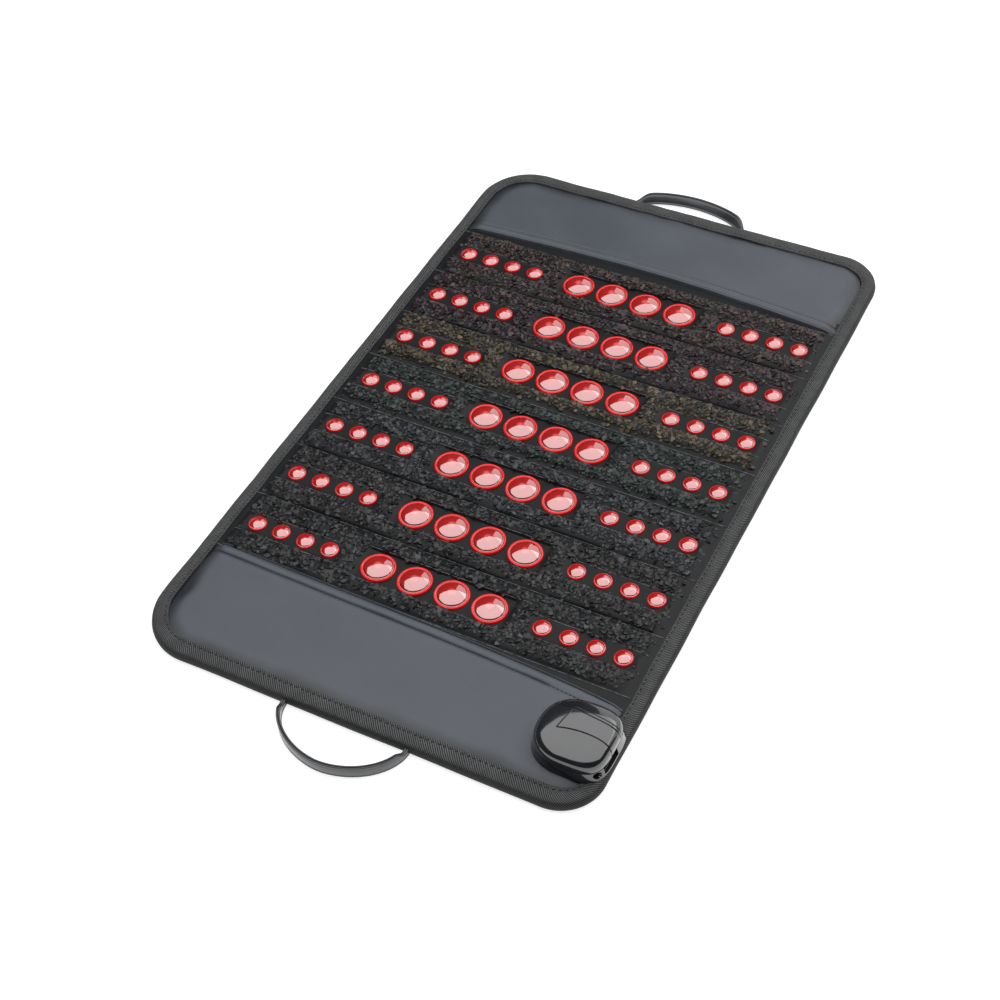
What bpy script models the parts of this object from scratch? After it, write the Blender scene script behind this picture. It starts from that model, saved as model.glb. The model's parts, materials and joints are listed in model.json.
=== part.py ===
"""A padded heat mat that folds in half like a book.

Seven bands of crushed stone carry rows of red lenses, a leather panel closes each end, woven tape
binds the edge, a strap handle lies at each end, and a connector box sits on one corner. X is the
mat's width, +Y its far end and +Z up; the origin is under the middle of the mat, on the floor.
"""

import math

import bmesh
import bpy
from mathutils import Matrix, Vector

# The mat as a whole.
MAT_LENGTH = 0.800
MAT_WIDTH = 0.4856
CORNER_RADIUS = 0.050
CLEARANCE = 0.0003

# The layers, from the floor up.
BOTTOM_COVER_THICKNESS = 0.0012
INSULATION_THICKNESS = 0.0040
HEATING_SHEET_THICKNESS = 0.0008
LED_BOARD_THICKNESS = 0.0016
END_PANEL_THICKNESS = 0.0061

# The woven tape round the edge.
BINDING_WIDTH = 0.0155
BINDING_HEIGHT = 0.0120
BINDING_ROUNDING = 0.0030

# The stone bands. The front and rear bands next to the middle one meet it on the fold lines.
ROW_COUNT = 7
ROW_PITCH = 0.0762
POCKET_CREST = 0.0078
POCKET_CREST_FROM_SEAM = 0.0110
POCKET_VALLEY = 0.0026
POCKET_VALLEY_HALF_WIDTH = 0.0130
POCKET_END_TAPER = 0.0150

# The leather end panels.
END_PANEL_SHOULDER = 0.0050
END_PANEL_FROM_BAND = 0.0013

# The lens strips: four caps moulded on one island.
LENSES_PER_STRIP = 4
ISLAND_RISE = 0.0010
ISLAND_MARGIN = 0.0010
LARGE_LENS_RADIUS = 0.0180
LARGE_LENS_PITCH = 0.0410
LARGE_LENS_RIM = 0.0026
LARGE_LENS_DOME = 0.0062
SMALL_LENS_RADIUS = 0.0094
SMALL_LENS_PITCH = 0.0282
SMALL_LENS_RIM = 0.0018
SMALL_LENS_DOME = 0.0036
SIDE_STRIP_FROM_EDGE = 0.0409
LED_BOARD_WIDTH = 0.0140

# The strap handles. Each stands on edge, and narrows to where it is sewn to the mat's edge.
STRAP_WIDTH = 0.0140
STRAP_THICKNESS = 0.0030
HANDLE_HALF_SPAN = 0.0655
FRONT_HANDLE_REACH = 0.0489
REAR_HANDLE_REACH = 0.0250
REAR_HANDLE_LEAN = math.radians(40)
HANDLE_FLOOR_GAP = 0.0006
HANDLE_NARROW_RUN = 0.0040
HANDLE_TAPER_RUN = 0.0100
HANDLE_FULLNESS = 1.85

# The connector box, placed from the mat's near right corner.
BOX_FROM_SIDE = 0.0403
BOX_FROM_END = 0.0685
BOX_HALF_WIDTH = 0.0400
BOX_HALF_DEPTH = 0.0385
BOX_BASE_HEIGHT = 0.0105
BOX_LID_HEIGHT = 0.0135
BOX_WALL = 0.0022
BOX_FLOOR = 0.0020
BOX_DRAFT = 0.0022
BOX_LEFT_FULLNESS = 2.3
BOX_RIGHT_FULLNESS = 3.4
STRIP_FAR_Y = 0.0180
STRIP_NEAR_Y = -0.0070
STRIP_BOW = 0.0045
STRIP_LEFT_X = -0.0160
STRIP_SLANT = 0.0045

# The socket opening and the cable notch in the box's right wall, and what is behind them.
SOCKET_Y = -0.0085
SOCKET_WIDTH = 0.0220
SOCKET_HEIGHT = 0.0060
SOCKET_DEPTH = 0.0140
SOCKET_WALL = 0.0010
CONTACT_WIDTH = 0.0100
CONTACT_LENGTH = 0.0035
CONTACT_THICKNESS = 0.0010
NOTCH_Y = -0.0275
NOTCH_RADIUS = 0.0036
BOX_BOARD_WIDTH = 0.0300
BOX_BOARD_DEPTH = 0.0400
BOX_BOARD_X = -0.0070

# The lead down to the heating sheet, and the thermal cut-out at its end.
LEAD_WIDTH = 0.0060
LEAD_THICKNESS = 0.0020
LEAD_RUN = 0.0360
LEAD_FROM_BOX_X = -0.0280
LEAD_END_ABOVE_FLOOR = 0.0020
CUTOUT_WIDTH = 0.0090
CUTOUT_LENGTH = 0.0160
CUTOUT_HEIGHT = 0.0032

# Worked out from the sizes above.
HALF_LENGTH = MAT_LENGTH / 2
HALF_WIDTH = MAT_WIDTH / 2
FIELD_HALF_WIDTH = HALF_WIDTH - BINDING_WIDTH - CLEARANCE
FOLD_Y = ROW_PITCH / 2
SEAM_Z = BINDING_HEIGHT
INSULATION_Z = BOTTOM_COVER_THICKNESS + CLEARANCE
HEATING_SHEET_Z = INSULATION_Z + INSULATION_THICKNESS + CLEARANCE
TOP_LAYER_Z = HEATING_SHEET_Z + HEATING_SHEET_THICKNESS + CLEARANCE
PANEL_TOP_Z = TOP_LAYER_Z + END_PANEL_THICKNESS
LED_BOARD_TOP_Z = TOP_LAYER_Z + LED_BOARD_THICKNESS
ISLAND_Z = LED_BOARD_TOP_Z + CLEARANCE
ISLAND_TOP_Z = SEAM_Z + ISLAND_RISE
HALF_ROWS = ROW_COUNT // 2
BAND_EDGE_Y = (HALF_ROWS + 0.5) * ROW_PITCH
HANDLE_AXIS_Z = BINDING_HEIGHT - 0.0035
HANDLE_AXIS_Y = HALF_LENGTH + CLEARANCE
BOX_X = HALF_WIDTH - BOX_FROM_SIDE
BOX_Y = -HALF_LENGTH + BOX_FROM_END
BOX_Z = PANEL_TOP_Z + CLEARANCE
BOX_PARTING_Z = BOX_Z + BOX_BASE_HEIGHT

CORNER_STEPS = 6
BOX_STEPS = 32
LARGE_LENS_SIDES = 12
SMALL_LENS_SIDES = 8
NOTCH_SIDES = 14
HANDLE_STEPS = 24
SHARP_ANGLE = math.radians(35)


def clear_scene():
    for item in list(bpy.data.objects):
        bpy.data.objects.remove(item, do_unlink=True)


def make_material(name, colour, roughness, metallic=0.0, alpha=1.0):
    material = bpy.data.materials.new(name)
    material.use_nodes = True
    shader = material.node_tree.nodes["Principled BSDF"]
    shader.inputs["Base Color"].default_value = (*colour, 1.0)
    shader.inputs["Roughness"].default_value = roughness
    shader.inputs["Metallic"].default_value = metallic
    shader.inputs["Alpha"].default_value = alpha
    material.diffuse_color = (*colour, alpha)
    return material


def mesh_from(name, points, faces):
    """A mesh of these points and faces, with its faces turned outwards."""
    mesh = bpy.data.meshes.new(name)
    mesh.from_pydata([tuple(point) for point in points], [], faces)
    shape = bmesh.new()
    shape.from_mesh(mesh)
    bmesh.ops.remove_doubles(shape, verts=shape.verts, dist=0.000001)
    bmesh.ops.recalc_face_normals(shape, faces=shape.faces)
    shape.to_mesh(mesh)
    shape.free()
    mesh.shade_smooth()
    mesh.set_sharp_from_angle(angle=SHARP_ANGLE)
    return mesh


def loft(name, rings):
    """A closed mesh through rings of equal length, with a cap on the first and on the last."""
    count = len(rings[0])
    points = [point for ring in rings for point in ring]
    faces = [tuple(range(count)), tuple(range(len(points) - count, len(points)))]
    for ring in range(len(rings) - 1):
        low = ring * count
        for step in range(count):
            after = (step + 1) % count
            faces.append((low + step, low + after, low + count + after, low + count + step))
    return mesh_from(name, points, faces)


def layered(name, levels):
    """A closed mesh through flat outlines, each given as (outline, height)."""
    return loft(name, [[(x, y, z) for x, y in outline] for outline, z in levels])


def box_mesh(name, low, high):
    outline = [(low[0], low[1]), (high[0], low[1]), (high[0], high[1]), (low[0], high[1])]
    return layered(name, [(outline, low[2]), (outline, high[2])])


def add_node(name, mesh, material, pivot=(0, 0, 0)):
    """A named object of this mesh. Its origin goes to pivot, and its shape stays where it is."""
    mesh.name = name
    mesh.transform(Matrix.Translation(-Vector(pivot)))
    mesh.materials.clear()
    mesh.materials.append(material)
    node = bpy.data.objects.new(name, mesh)
    node.location = pivot
    bpy.context.scene.collection.objects.link(node)
    return node


def add_cutter(name, mesh):
    """A helper object for a Boolean. It isn't part of the mat."""
    cutter = bpy.data.objects.new(name, mesh)
    cutter.hide_render = True
    cutter.display_type = "WIRE"
    bpy.context.scene.collection.objects.link(cutter)
    return cutter


def combine(node, cutter, operation):
    modifier = node.modifiers.new(operation.title() + " " + cutter.name, "BOOLEAN")
    modifier.operation = operation
    modifier.solver = "EXACT"
    modifier.object = cutter


def corner_frames(end):
    """Points along the mat's edge from the fold, round one end and back, each with its inward way.

    end is -1 for the near end and +1 for the far end.
    """
    centre_x = HALF_WIDTH - CORNER_RADIUS
    centre_y = end * (HALF_LENGTH - CORNER_RADIUS)
    fold = end * (FOLD_Y + CLEARANCE / 2)
    frames = [(Vector((HALF_WIDTH, fold)), Vector((-1, 0)))]
    for side in (1, -1):
        for step in range(CORNER_STEPS + 1):
            along = step if side == 1 else CORNER_STEPS - step
            turn = math.pi / 2 * along / CORNER_STEPS
            outward = Vector((side * math.cos(turn), end * math.sin(turn)))
            centre = Vector((side * centre_x, centre_y))
            frames.append((centre + CORNER_RADIUS * outward, -outward))
    frames.append((Vector((-HALF_WIDTH, fold)), Vector((1, 0))))
    return frames


def end_outline(end, inset, cut_y=None):
    """The plan of one end of the mat, this far inside its edge, closed by a straight line at cut_y."""
    outline = [point + inset * inward for point, inward in corner_frames(end)]
    if cut_y is not None:
        outline[0].y = cut_y
        outline[-1].y = cut_y
    return [tuple(point) for point in outline]


def middle_outline():
    side = FIELD_HALF_WIDTH
    edge = FOLD_Y - CLEARANCE / 2
    return [(-side, -edge), (side, -edge), (side, edge), (-side, edge)]


def add_flat_layers(section, outline, finishes):
    """The bottom cover, the insulation and the heating sheet of one section of the mat."""
    layers = (
        ("bottom_cover", 0.0, BOTTOM_COVER_THICKNESS),
        ("insulation", INSULATION_Z, INSULATION_THICKNESS),
        ("heating_sheet", HEATING_SHEET_Z, HEATING_SHEET_THICKNESS),
    )
    for layer, low, thickness in layers:
        name = section + "_" + layer
        mesh = layered(name, [(outline, low), (outline, low + thickness)])
        add_node(name, mesh, finishes[layer])


def binding_section(point, inward):
    """The tape's outline across the edge: rounded outside, flat on top and under."""
    profile = (
        (BINDING_ROUNDING / 2, 0.0),
        (0.0, BINDING_ROUNDING),
        (0.0, BINDING_HEIGHT - BINDING_ROUNDING),
        (BINDING_ROUNDING, BINDING_HEIGHT),
        (BINDING_WIDTH, BINDING_HEIGHT),
        (BINDING_WIDTH, 0.0),
    )
    return [(*(point + inset * inward), height) for inset, height in profile]


def add_bindings(finish):
    for name, end in (("front_binding", -1), ("rear_binding", 1)):
        rings = [binding_section(point, inward) for point, inward in corner_frames(end)]
        add_node(name, loft(name, rings), finish)
    edge = FOLD_Y - CLEARANCE / 2
    for name, side in (("mid_binding_left", -1), ("mid_binding_right", 1)):
        inward = Vector((-side, 0))
        ends = [Vector((side * HALF_WIDTH, y)) for y in (-edge, edge)]
        add_node(name, loft(name, [binding_section(point, inward) for point in ends]), finish)


def add_end_panels(finish):
    panels = {}
    inset = BINDING_WIDTH + CLEARANCE
    for name, end in (("front_end_panel", -1), ("rear_end_panel", 1)):
        hem = end * (BAND_EDGE_Y + END_PANEL_FROM_BAND)
        shoulder = hem + end * END_PANEL_SHOULDER
        edge_z = PANEL_TOP_Z - END_PANEL_SHOULDER / 2
        wide = end_outline(end, inset, hem)
        narrow = end_outline(end, inset + END_PANEL_SHOULDER, shoulder)
        levels = [(wide, TOP_LAYER_Z), (wide, edge_z), (narrow, PANEL_TOP_Z)]
        panels[end] = add_node(name, layered(name, levels), finish)
    return panels


def strip_places():
    """The three lens strips of a row: name, centre, half length and half width of each."""
    large_half = (LENSES_PER_STRIP - 1) / 2 * LARGE_LENS_PITCH + LARGE_LENS_RADIUS + ISLAND_MARGIN
    small_half = (LENSES_PER_STRIP - 1) / 2 * SMALL_LENS_PITCH + SMALL_LENS_RADIUS + ISLAND_MARGIN
    side_x = HALF_WIDTH - SIDE_STRIP_FROM_EDGE - (LENSES_PER_STRIP - 1) / 2 * SMALL_LENS_PITCH
    return (
        ("left", -side_x, small_half, SMALL_LENS_RADIUS + ISLAND_MARGIN),
        ("centre", 0.0, large_half, LARGE_LENS_RADIUS + ISLAND_MARGIN),
        ("right", side_x, small_half, SMALL_LENS_RADIUS + ISLAND_MARGIN),
    )


def pocket_section(x, fullness):
    """A stone band cut across: a crest on each side of the lens line and a groove for the board."""
    edge = ROW_PITCH / 2 - CLEARANCE / 2
    groove = LED_BOARD_WIDTH / 2 + CLEARANCE
    crest = edge - POCKET_CREST_FROM_SEAM
    half = (
        (edge, 0.0),
        ((edge + crest) / 2, 0.6 * POCKET_CREST),
        (crest, POCKET_CREST),
        ((crest + POCKET_VALLEY_HALF_WIDTH) / 2, 0.85 * POCKET_CREST),
        (POCKET_VALLEY_HALF_WIDTH, POCKET_VALLEY),
    )
    top = [(y, SEAM_Z + fullness * rise) for y, rise in half]
    top += [(-y, z) for y, z in reversed(top)]
    under = [
        (-edge, TOP_LAYER_Z),
        (-groove, TOP_LAYER_Z),
        (-groove, ISLAND_Z),
        (groove, ISLAND_Z),
        (groove, TOP_LAYER_Z),
        (edge, TOP_LAYER_Z),
    ]
    return [(x, y, z) for y, z in top + under]


def pocket_windows():
    """One helper mesh with the three windows that a row's lens strips stand in."""
    points = []
    faces = []
    for _, centre, half_length, half_width in strip_places():
        window = box_mesh(
            "window",
            (centre - half_length - CLEARANCE, -half_width - CLEARANCE, 0.0),
            (centre + half_length + CLEARANCE, half_width + CLEARANCE, 2 * BINDING_HEIGHT),
        )
        start = len(points)
        points += [vertex.co.copy() for vertex in window.vertices]
        faces += [tuple(start + index for index in face.vertices) for face in window.polygons]
        bpy.data.meshes.remove(window)
    return mesh_from("pocket_windows", points, faces)


def evaluated_mesh(node):
    """The node's mesh with its modifiers carried out."""
    bpy.context.view_layer.update()
    graph = bpy.context.evaluated_depsgraph_get()
    return bpy.data.meshes.new_from_object(node.evaluated_get(graph))


def make_pocket_mesh():
    body_end = FIELD_HALF_WIDTH
    full_end = body_end - POCKET_END_TAPER
    stations = ((-body_end, 0.05), (-full_end, 1.0), (full_end, 1.0), (body_end, 0.05))
    shape = loft("pocket", [pocket_section(x, fullness) for x, fullness in stations])
    holder = add_cutter("pocket_shape", shape)
    windows = add_cutter("pocket_windows", pocket_windows())
    combine(holder, windows, "DIFFERENCE")
    return evaluated_mesh(holder)


def lens_mesh(name, radius, rim, dome, sides):
    """A turned cap: an upright rim and a low dome. Its foot is sunk into the island, for joining."""
    profile = (
        (radius, -ISLAND_RISE),
        (radius, rim),
        (0.72 * radius, rim + 0.55 * dome),
        (0.28 * radius, rim + dome),
    )
    rings = []
    for ring_radius, height in profile:
        turns = [2 * math.pi * (step + 0.5) / sides for step in range(sides)]
        rings.append([(ring_radius * math.cos(t), ring_radius * math.sin(t), height) for t in turns])
    return loft(name, rings)


def make_strip_mesh(name, half_length, half_width, lens, pitch):
    """An island with its four lens caps, joined to one solid and centred on its own middle."""
    island = box_mesh(name, (-half_length, -half_width, ISLAND_Z), (half_length, half_width, ISLAND_TOP_Z))
    holder = add_cutter(name + "_shape", island)
    for count in range(LENSES_PER_STRIP):
        cap = add_cutter(name + "_cap", lens.copy())
        cap.location = ((count - (LENSES_PER_STRIP - 1) / 2) * pitch, 0, ISLAND_TOP_Z)
        combine(holder, cap, "UNION")
    return evaluated_mesh(holder)


def add_rows(finishes):
    """The stone bands with their boards and lens strips. Row 1 is the far one."""
    pocket = make_pocket_mesh()
    places = strip_places()
    large = lens_mesh("large_lens", LARGE_LENS_RADIUS, LARGE_LENS_RIM, LARGE_LENS_DOME, LARGE_LENS_SIDES)
    small = lens_mesh("small_lens", SMALL_LENS_RADIUS, SMALL_LENS_RIM, SMALL_LENS_DOME, SMALL_LENS_SIDES)
    side_strip = make_strip_mesh("side_strip", places[0][2], places[0][3], small, SMALL_LENS_PITCH)
    centre_strip = make_strip_mesh("centre_strip", places[1][2], places[1][3], large, LARGE_LENS_PITCH)
    board_half = places[2][1] + places[2][2]
    board_low = (-board_half, -LED_BOARD_WIDTH / 2, TOP_LAYER_Z)
    board_high = (board_half, LED_BOARD_WIDTH / 2, LED_BOARD_TOP_Z)
    for row in range(1, ROW_COUNT + 1):
        y = (HALF_ROWS + 1 - row) * ROW_PITCH
        band = add_node(f"stone_pocket_{row}", pocket.copy(), finishes[f"stone_{row}"])
        band.location.y = y
        board = add_node(f"led_board_{row}", box_mesh("board", board_low, board_high), finishes["led_board"])
        board.location.y = y
        for place, x, _, _ in places:
            mesh = centre_strip if place == "centre" else side_strip
            finish = finishes["large_lens" if place == "centre" else "small_lens"]
            strip = add_node(f"lens_strip_{row}_{place}", mesh.copy(), finish)
            strip.location = (x, y, 0)


def handle_path(reach):
    """Points along half a loop and back, from one sewn end to the other, measured from the axis."""
    points = []
    for step in range(HANDLE_STEPS + 1):
        turn = math.pi * step / HANDLE_STEPS
        across = abs(math.cos(turn)) ** (2 / HANDLE_FULLNESS)
        out = abs(math.sin(turn)) ** (2 / HANDLE_FULLNESS)
        side = -1 if step * 2 < HANDLE_STEPS else 1
        points.append(Vector((side * HANDLE_HALF_SPAN * across, reach * out)))
    return points


def strap_half_width(lean, share):
    """Half the strap's width: its end reaches up to the hinge line at share 0, and it is full at 1."""
    end_rise = (HANDLE_AXIS_Z - HANDLE_FLOOR_GAP) / 2
    end_width = (end_rise - STRAP_THICKNESS / 2 * math.sin(lean)) / math.cos(lean)
    blend = share * share * (3 - 2 * share)
    return end_width + (STRAP_WIDTH / 2 - end_width) * blend


def strap_section(point, tangent, lean, half_width, end):
    """The strap cut across, on edge. lean tips its top outwards; its lowest corner keeps its height."""
    out = Vector((-tangent.y, tangent.x, 0.0))
    across = math.sin(lean) * out + math.cos(lean) * Vector((0, 0, 1))
    through = -math.cos(lean) * out + math.sin(lean) * Vector((0, 0, 1))
    half_rise = half_width * math.cos(lean) + STRAP_THICKNESS / 2 * math.sin(lean)
    centre = Vector((point.x, point.y, HANDLE_FLOOR_GAP + half_rise))
    section = []
    for side, face in ((-1, -1), (1, -1), (1, 1), (-1, 1)):
        corner = centre + side * half_width * across + face * STRAP_THICKNESS / 2 * through
        section.append((corner.x, end * (HANDLE_AXIS_Y + corner.y), corner.z))
    return section


def handle_mesh(name, end, reach, lean):
    """A strap swept round its loop, from the mat's edge and back to it."""
    path = handle_path(reach)
    rings = []
    for index, point in enumerate(path):
        before = path[max(index - 1, 0)]
        after = path[min(index + 1, len(path) - 1)]
        tangent = (after - before).normalized()
        if index in (0, len(path) - 1):
            tangent = Vector((0, 1 if index == 0 else -1))
        share = min(max((point.y - HANDLE_NARROW_RUN) / HANDLE_TAPER_RUN, 0.0), 1.0)
        rings.append(strap_section(point, tangent, lean, strap_half_width(lean, share), end))
    return loft(name, rings)


def add_handles(finish):
    handles = (
        ("front_handle", -1, FRONT_HANDLE_REACH, 0.0),
        ("rear_handle", 1, REAR_HANDLE_REACH, REAR_HANDLE_LEAN),
    )
    for name, end, reach, lean in handles:
        pivot = (0, end * HANDLE_AXIS_Y, HANDLE_AXIS_Z)
        add_node(name, handle_mesh(name, end, reach, lean), finish, pivot)


def box_outline(inset):
    """The connector box in plan: rounder on the left, squarer on the right."""
    outline = []
    for step in range(BOX_STEPS):
        turn = 2 * math.pi * step / BOX_STEPS
        cosine, sine = math.cos(turn), math.sin(turn)
        power = 2 / (BOX_RIGHT_FULLNESS if cosine > 0 else BOX_LEFT_FULLNESS)
        x = math.copysign(abs(cosine) ** power, cosine) * (BOX_HALF_WIDTH - inset)
        y = math.copysign(abs(sine) ** power, sine) * (BOX_HALF_DEPTH - inset)
        outline.append((BOX_X + x, BOX_Y + y))
    return outline


def base_mesh():
    """A tray: out along the floor, up the flared wall, and down inside."""
    top = BOX_PARTING_Z - CLEARANCE / 2
    levels = [
        (box_outline(0.0), BOX_Z),
        (box_outline(BOX_DRAFT), top),
        (box_outline(BOX_DRAFT + BOX_WALL), top),
        (box_outline(2 * BOX_DRAFT), BOX_Z + BOX_FLOOR),
    ]
    return layered("connector_base", levels)


def lid_mesh():
    """A domed cap, hollow and open underneath."""
    low = BOX_PARTING_Z + CLEARANCE / 2
    high = BOX_PARTING_Z + BOX_LID_HEIGHT
    outside = (
        (BOX_DRAFT, low),
        (1.4 * BOX_DRAFT, low + 0.50 * BOX_LID_HEIGHT),
        (3.2 * BOX_DRAFT, low + 0.80 * BOX_LID_HEIGHT),
        (7.0 * BOX_DRAFT, low + 0.93 * BOX_LID_HEIGHT),
        (0.55 * BOX_HALF_DEPTH, high),
    )
    inside = [(inset + BOX_WALL, height - BOX_WALL) for inset, height in outside[1:]]
    inside.insert(0, (BOX_DRAFT + BOX_WALL, low))
    levels = list(reversed(inside)) + list(outside)
    return layered("connector_lid", [(box_outline(inset), height) for inset, height in levels])


def strip_plan(name, shrink):
    """The upright prism that parts the centre strip from the lid, smaller all round by shrink."""
    far = BOX_Y + STRIP_FAR_Y - shrink
    near = BOX_Y + STRIP_NEAR_Y + shrink
    left = BOX_X + STRIP_LEFT_X + shrink
    right = BOX_X + 2 * BOX_HALF_WIDTH
    middle = BOX_X + (STRIP_LEFT_X + BOX_HALF_WIDTH) / 2
    outline = [
        (left, near),
        (middle, near + STRIP_BOW),
        (BOX_X + BOX_HALF_WIDTH, near),
        (right, near),
        (right, far),
        (left + STRIP_SLANT, far),
    ]
    low = BOX_PARTING_Z + CLEARANCE / 2 - (CLEARANCE if shrink == 0 else 0)
    return layered(name, [(outline, low), (outline, BOX_PARTING_Z + 2 * BOX_LID_HEIGHT)])


def notch_mesh():
    """A round bar that runs out through the right wall."""
    centre_z = BOX_Z + BOX_FLOOR + NOTCH_RADIUS + CLEARANCE
    rings = []
    for x in (BOX_X + 0.45 * BOX_HALF_WIDTH, BOX_X + 1.5 * BOX_HALF_WIDTH):
        turns = [2 * math.pi * step / NOTCH_SIDES for step in range(NOTCH_SIDES)]
        ring = [(math.cos(turn) * NOTCH_RADIUS, math.sin(turn) * NOTCH_RADIUS) for turn in turns]
        rings.append([(x, BOX_Y + NOTCH_Y + y, centre_z + z) for y, z in ring])
    return loft("cable_notch", rings)


def add_connector(finishes, front_panel):
    base = add_node("connector_base", base_mesh(), finishes["connector_shell"])
    lid = add_node("connector_lid", lid_mesh(), finishes["connector_shell"])
    strip = add_node("connector_strip", lid_mesh(), finishes["connector_strip"])
    combine(lid, add_cutter("strip_gap", strip_plan("strip_gap", 0.0)), "DIFFERENCE")
    combine(strip, add_cutter("strip_shape", strip_plan("strip_shape", CLEARANCE)), "INTERSECT")

    # The socket stands on the floor of the base, its mouth just inside the wall's outer face.
    socket_y = BOX_Y + SOCKET_Y
    mouth_x = BOX_X + BOX_HALF_WIDTH - 2 * BOX_DRAFT
    socket_low_z = BOX_Z + BOX_FLOOR + CLEARANCE
    socket_high_z = socket_low_z + SOCKET_HEIGHT + 2 * SOCKET_WALL
    half = SOCKET_WIDTH / 2
    outer_half = half + SOCKET_WALL
    block = box_mesh(
        "power_socket",
        (mouth_x - SOCKET_DEPTH, socket_y - outer_half, socket_low_z),
        (mouth_x, socket_y + outer_half, socket_high_z),
    )
    hollow = box_mesh(
        "socket_hollow",
        (mouth_x - SOCKET_DEPTH + 2 * SOCKET_WALL, socket_y - half, socket_low_z + SOCKET_WALL),
        (mouth_x + BOX_HALF_WIDTH, socket_y + half, socket_high_z - SOCKET_WALL),
    )
    opening = box_mesh(
        "socket_opening",
        (mouth_x - SOCKET_DEPTH, socket_y - outer_half - CLEARANCE, socket_low_z - CLEARANCE / 2),
        (BOX_X + 2 * BOX_HALF_WIDTH, socket_y + outer_half + CLEARANCE, socket_high_z + CLEARANCE),
    )
    socket = add_node("power_socket", block, finishes["power_socket"])
    combine(socket, add_cutter("socket_hollow", hollow), "DIFFERENCE")
    combine(base, add_cutter("socket_opening", opening), "DIFFERENCE")
    combine(base, add_cutter("cable_notch", notch_mesh()), "DIFFERENCE")
    contact_z = (socket_low_z + socket_high_z) / 2
    contact_x = mouth_x - SOCKET_DEPTH + 2 * SOCKET_WALL + CLEARANCE
    contacts = box_mesh(
        "socket_contacts",
        (contact_x, socket_y - CONTACT_WIDTH / 2, contact_z - CONTACT_THICKNESS / 2),
        (contact_x + CONTACT_LENGTH, socket_y + CONTACT_WIDTH / 2, contact_z + CONTACT_THICKNESS / 2),
    )
    add_node("socket_contacts", contacts, finishes["socket_contacts"])

    # The board lies on the floor of the base, left of the socket.
    board_x = BOX_X + BOX_BOARD_X
    board_z = BOX_Z + BOX_FLOOR + CLEARANCE
    board = box_mesh(
        "connector_board",
        (board_x - BOX_BOARD_WIDTH / 2, BOX_Y - BOX_BOARD_DEPTH / 2, board_z),
        (board_x + BOX_BOARD_WIDTH / 2, BOX_Y + BOX_BOARD_DEPTH / 2, board_z + LED_BOARD_THICKNESS),
    )
    add_node("connector_board", board, finishes["connector_board"])

    # The lead drops through the box's floor and the panel, then runs along the heating sheet.
    lead_x = BOX_X + LEAD_FROM_BOX_X
    lead_top = BOX_Z + BOX_FLOOR + LEAD_END_ABOVE_FLOOR
    start_y = BOX_Y - LEAD_THICKNESS / 2
    end_y = start_y + LEAD_RUN
    profile = [
        (start_y, TOP_LAYER_Z),
        (end_y, TOP_LAYER_Z),
        (end_y, TOP_LAYER_Z + LEAD_THICKNESS),
        (start_y + LEAD_THICKNESS, TOP_LAYER_Z + LEAD_THICKNESS),
        (start_y + LEAD_THICKNESS, lead_top),
        (start_y, lead_top),
    ]
    sides = (lead_x - LEAD_WIDTH / 2, lead_x + LEAD_WIDTH / 2)
    lead = loft("power_lead", [[(x, y, z) for y, z in profile] for x in sides])
    add_node("power_lead", lead, finishes["power_lead"])
    cutout_y = end_y + CLEARANCE
    cutout = box_mesh(
        "thermal_cutout",
        (lead_x - CUTOUT_WIDTH / 2, cutout_y, TOP_LAYER_Z),
        (lead_x + CUTOUT_WIDTH / 2, cutout_y + CUTOUT_LENGTH, TOP_LAYER_Z + CUTOUT_HEIGHT),
    )
    add_node("thermal_cutout", cutout, finishes["thermal_cutout"])
    hole = box_mesh(
        "lead_hole",
        (sides[0] - CLEARANCE, start_y - CLEARANCE, 0.0),
        (sides[1] + CLEARANCE, start_y + LEAD_THICKNESS + CLEARANCE, lead_top),
    )
    channel = box_mesh(
        "lead_channel",
        (sides[0] - CLEARANCE, start_y - CLEARANCE, 0.0),
        (sides[1] + CLEARANCE, cutout_y, TOP_LAYER_Z + LEAD_THICKNESS + CLEARANCE),
    )
    bay = box_mesh(
        "cutout_bay",
        (lead_x - CUTOUT_WIDTH / 2 - CLEARANCE, cutout_y - CLEARANCE / 2, 0.0),
        (
            lead_x + CUTOUT_WIDTH / 2 + CLEARANCE,
            cutout_y + CUTOUT_LENGTH + CLEARANCE,
            TOP_LAYER_Z + CUTOUT_HEIGHT + CLEARANCE,
        ),
    )
    lead_hole = add_cutter("lead_hole", hole)
    combine(base, lead_hole, "DIFFERENCE")
    combine(front_panel, lead_hole, "DIFFERENCE")
    combine(front_panel, add_cutter("lead_channel", channel), "DIFFERENCE")
    combine(front_panel, add_cutter("cutout_bay", bay), "DIFFERENCE")


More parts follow.
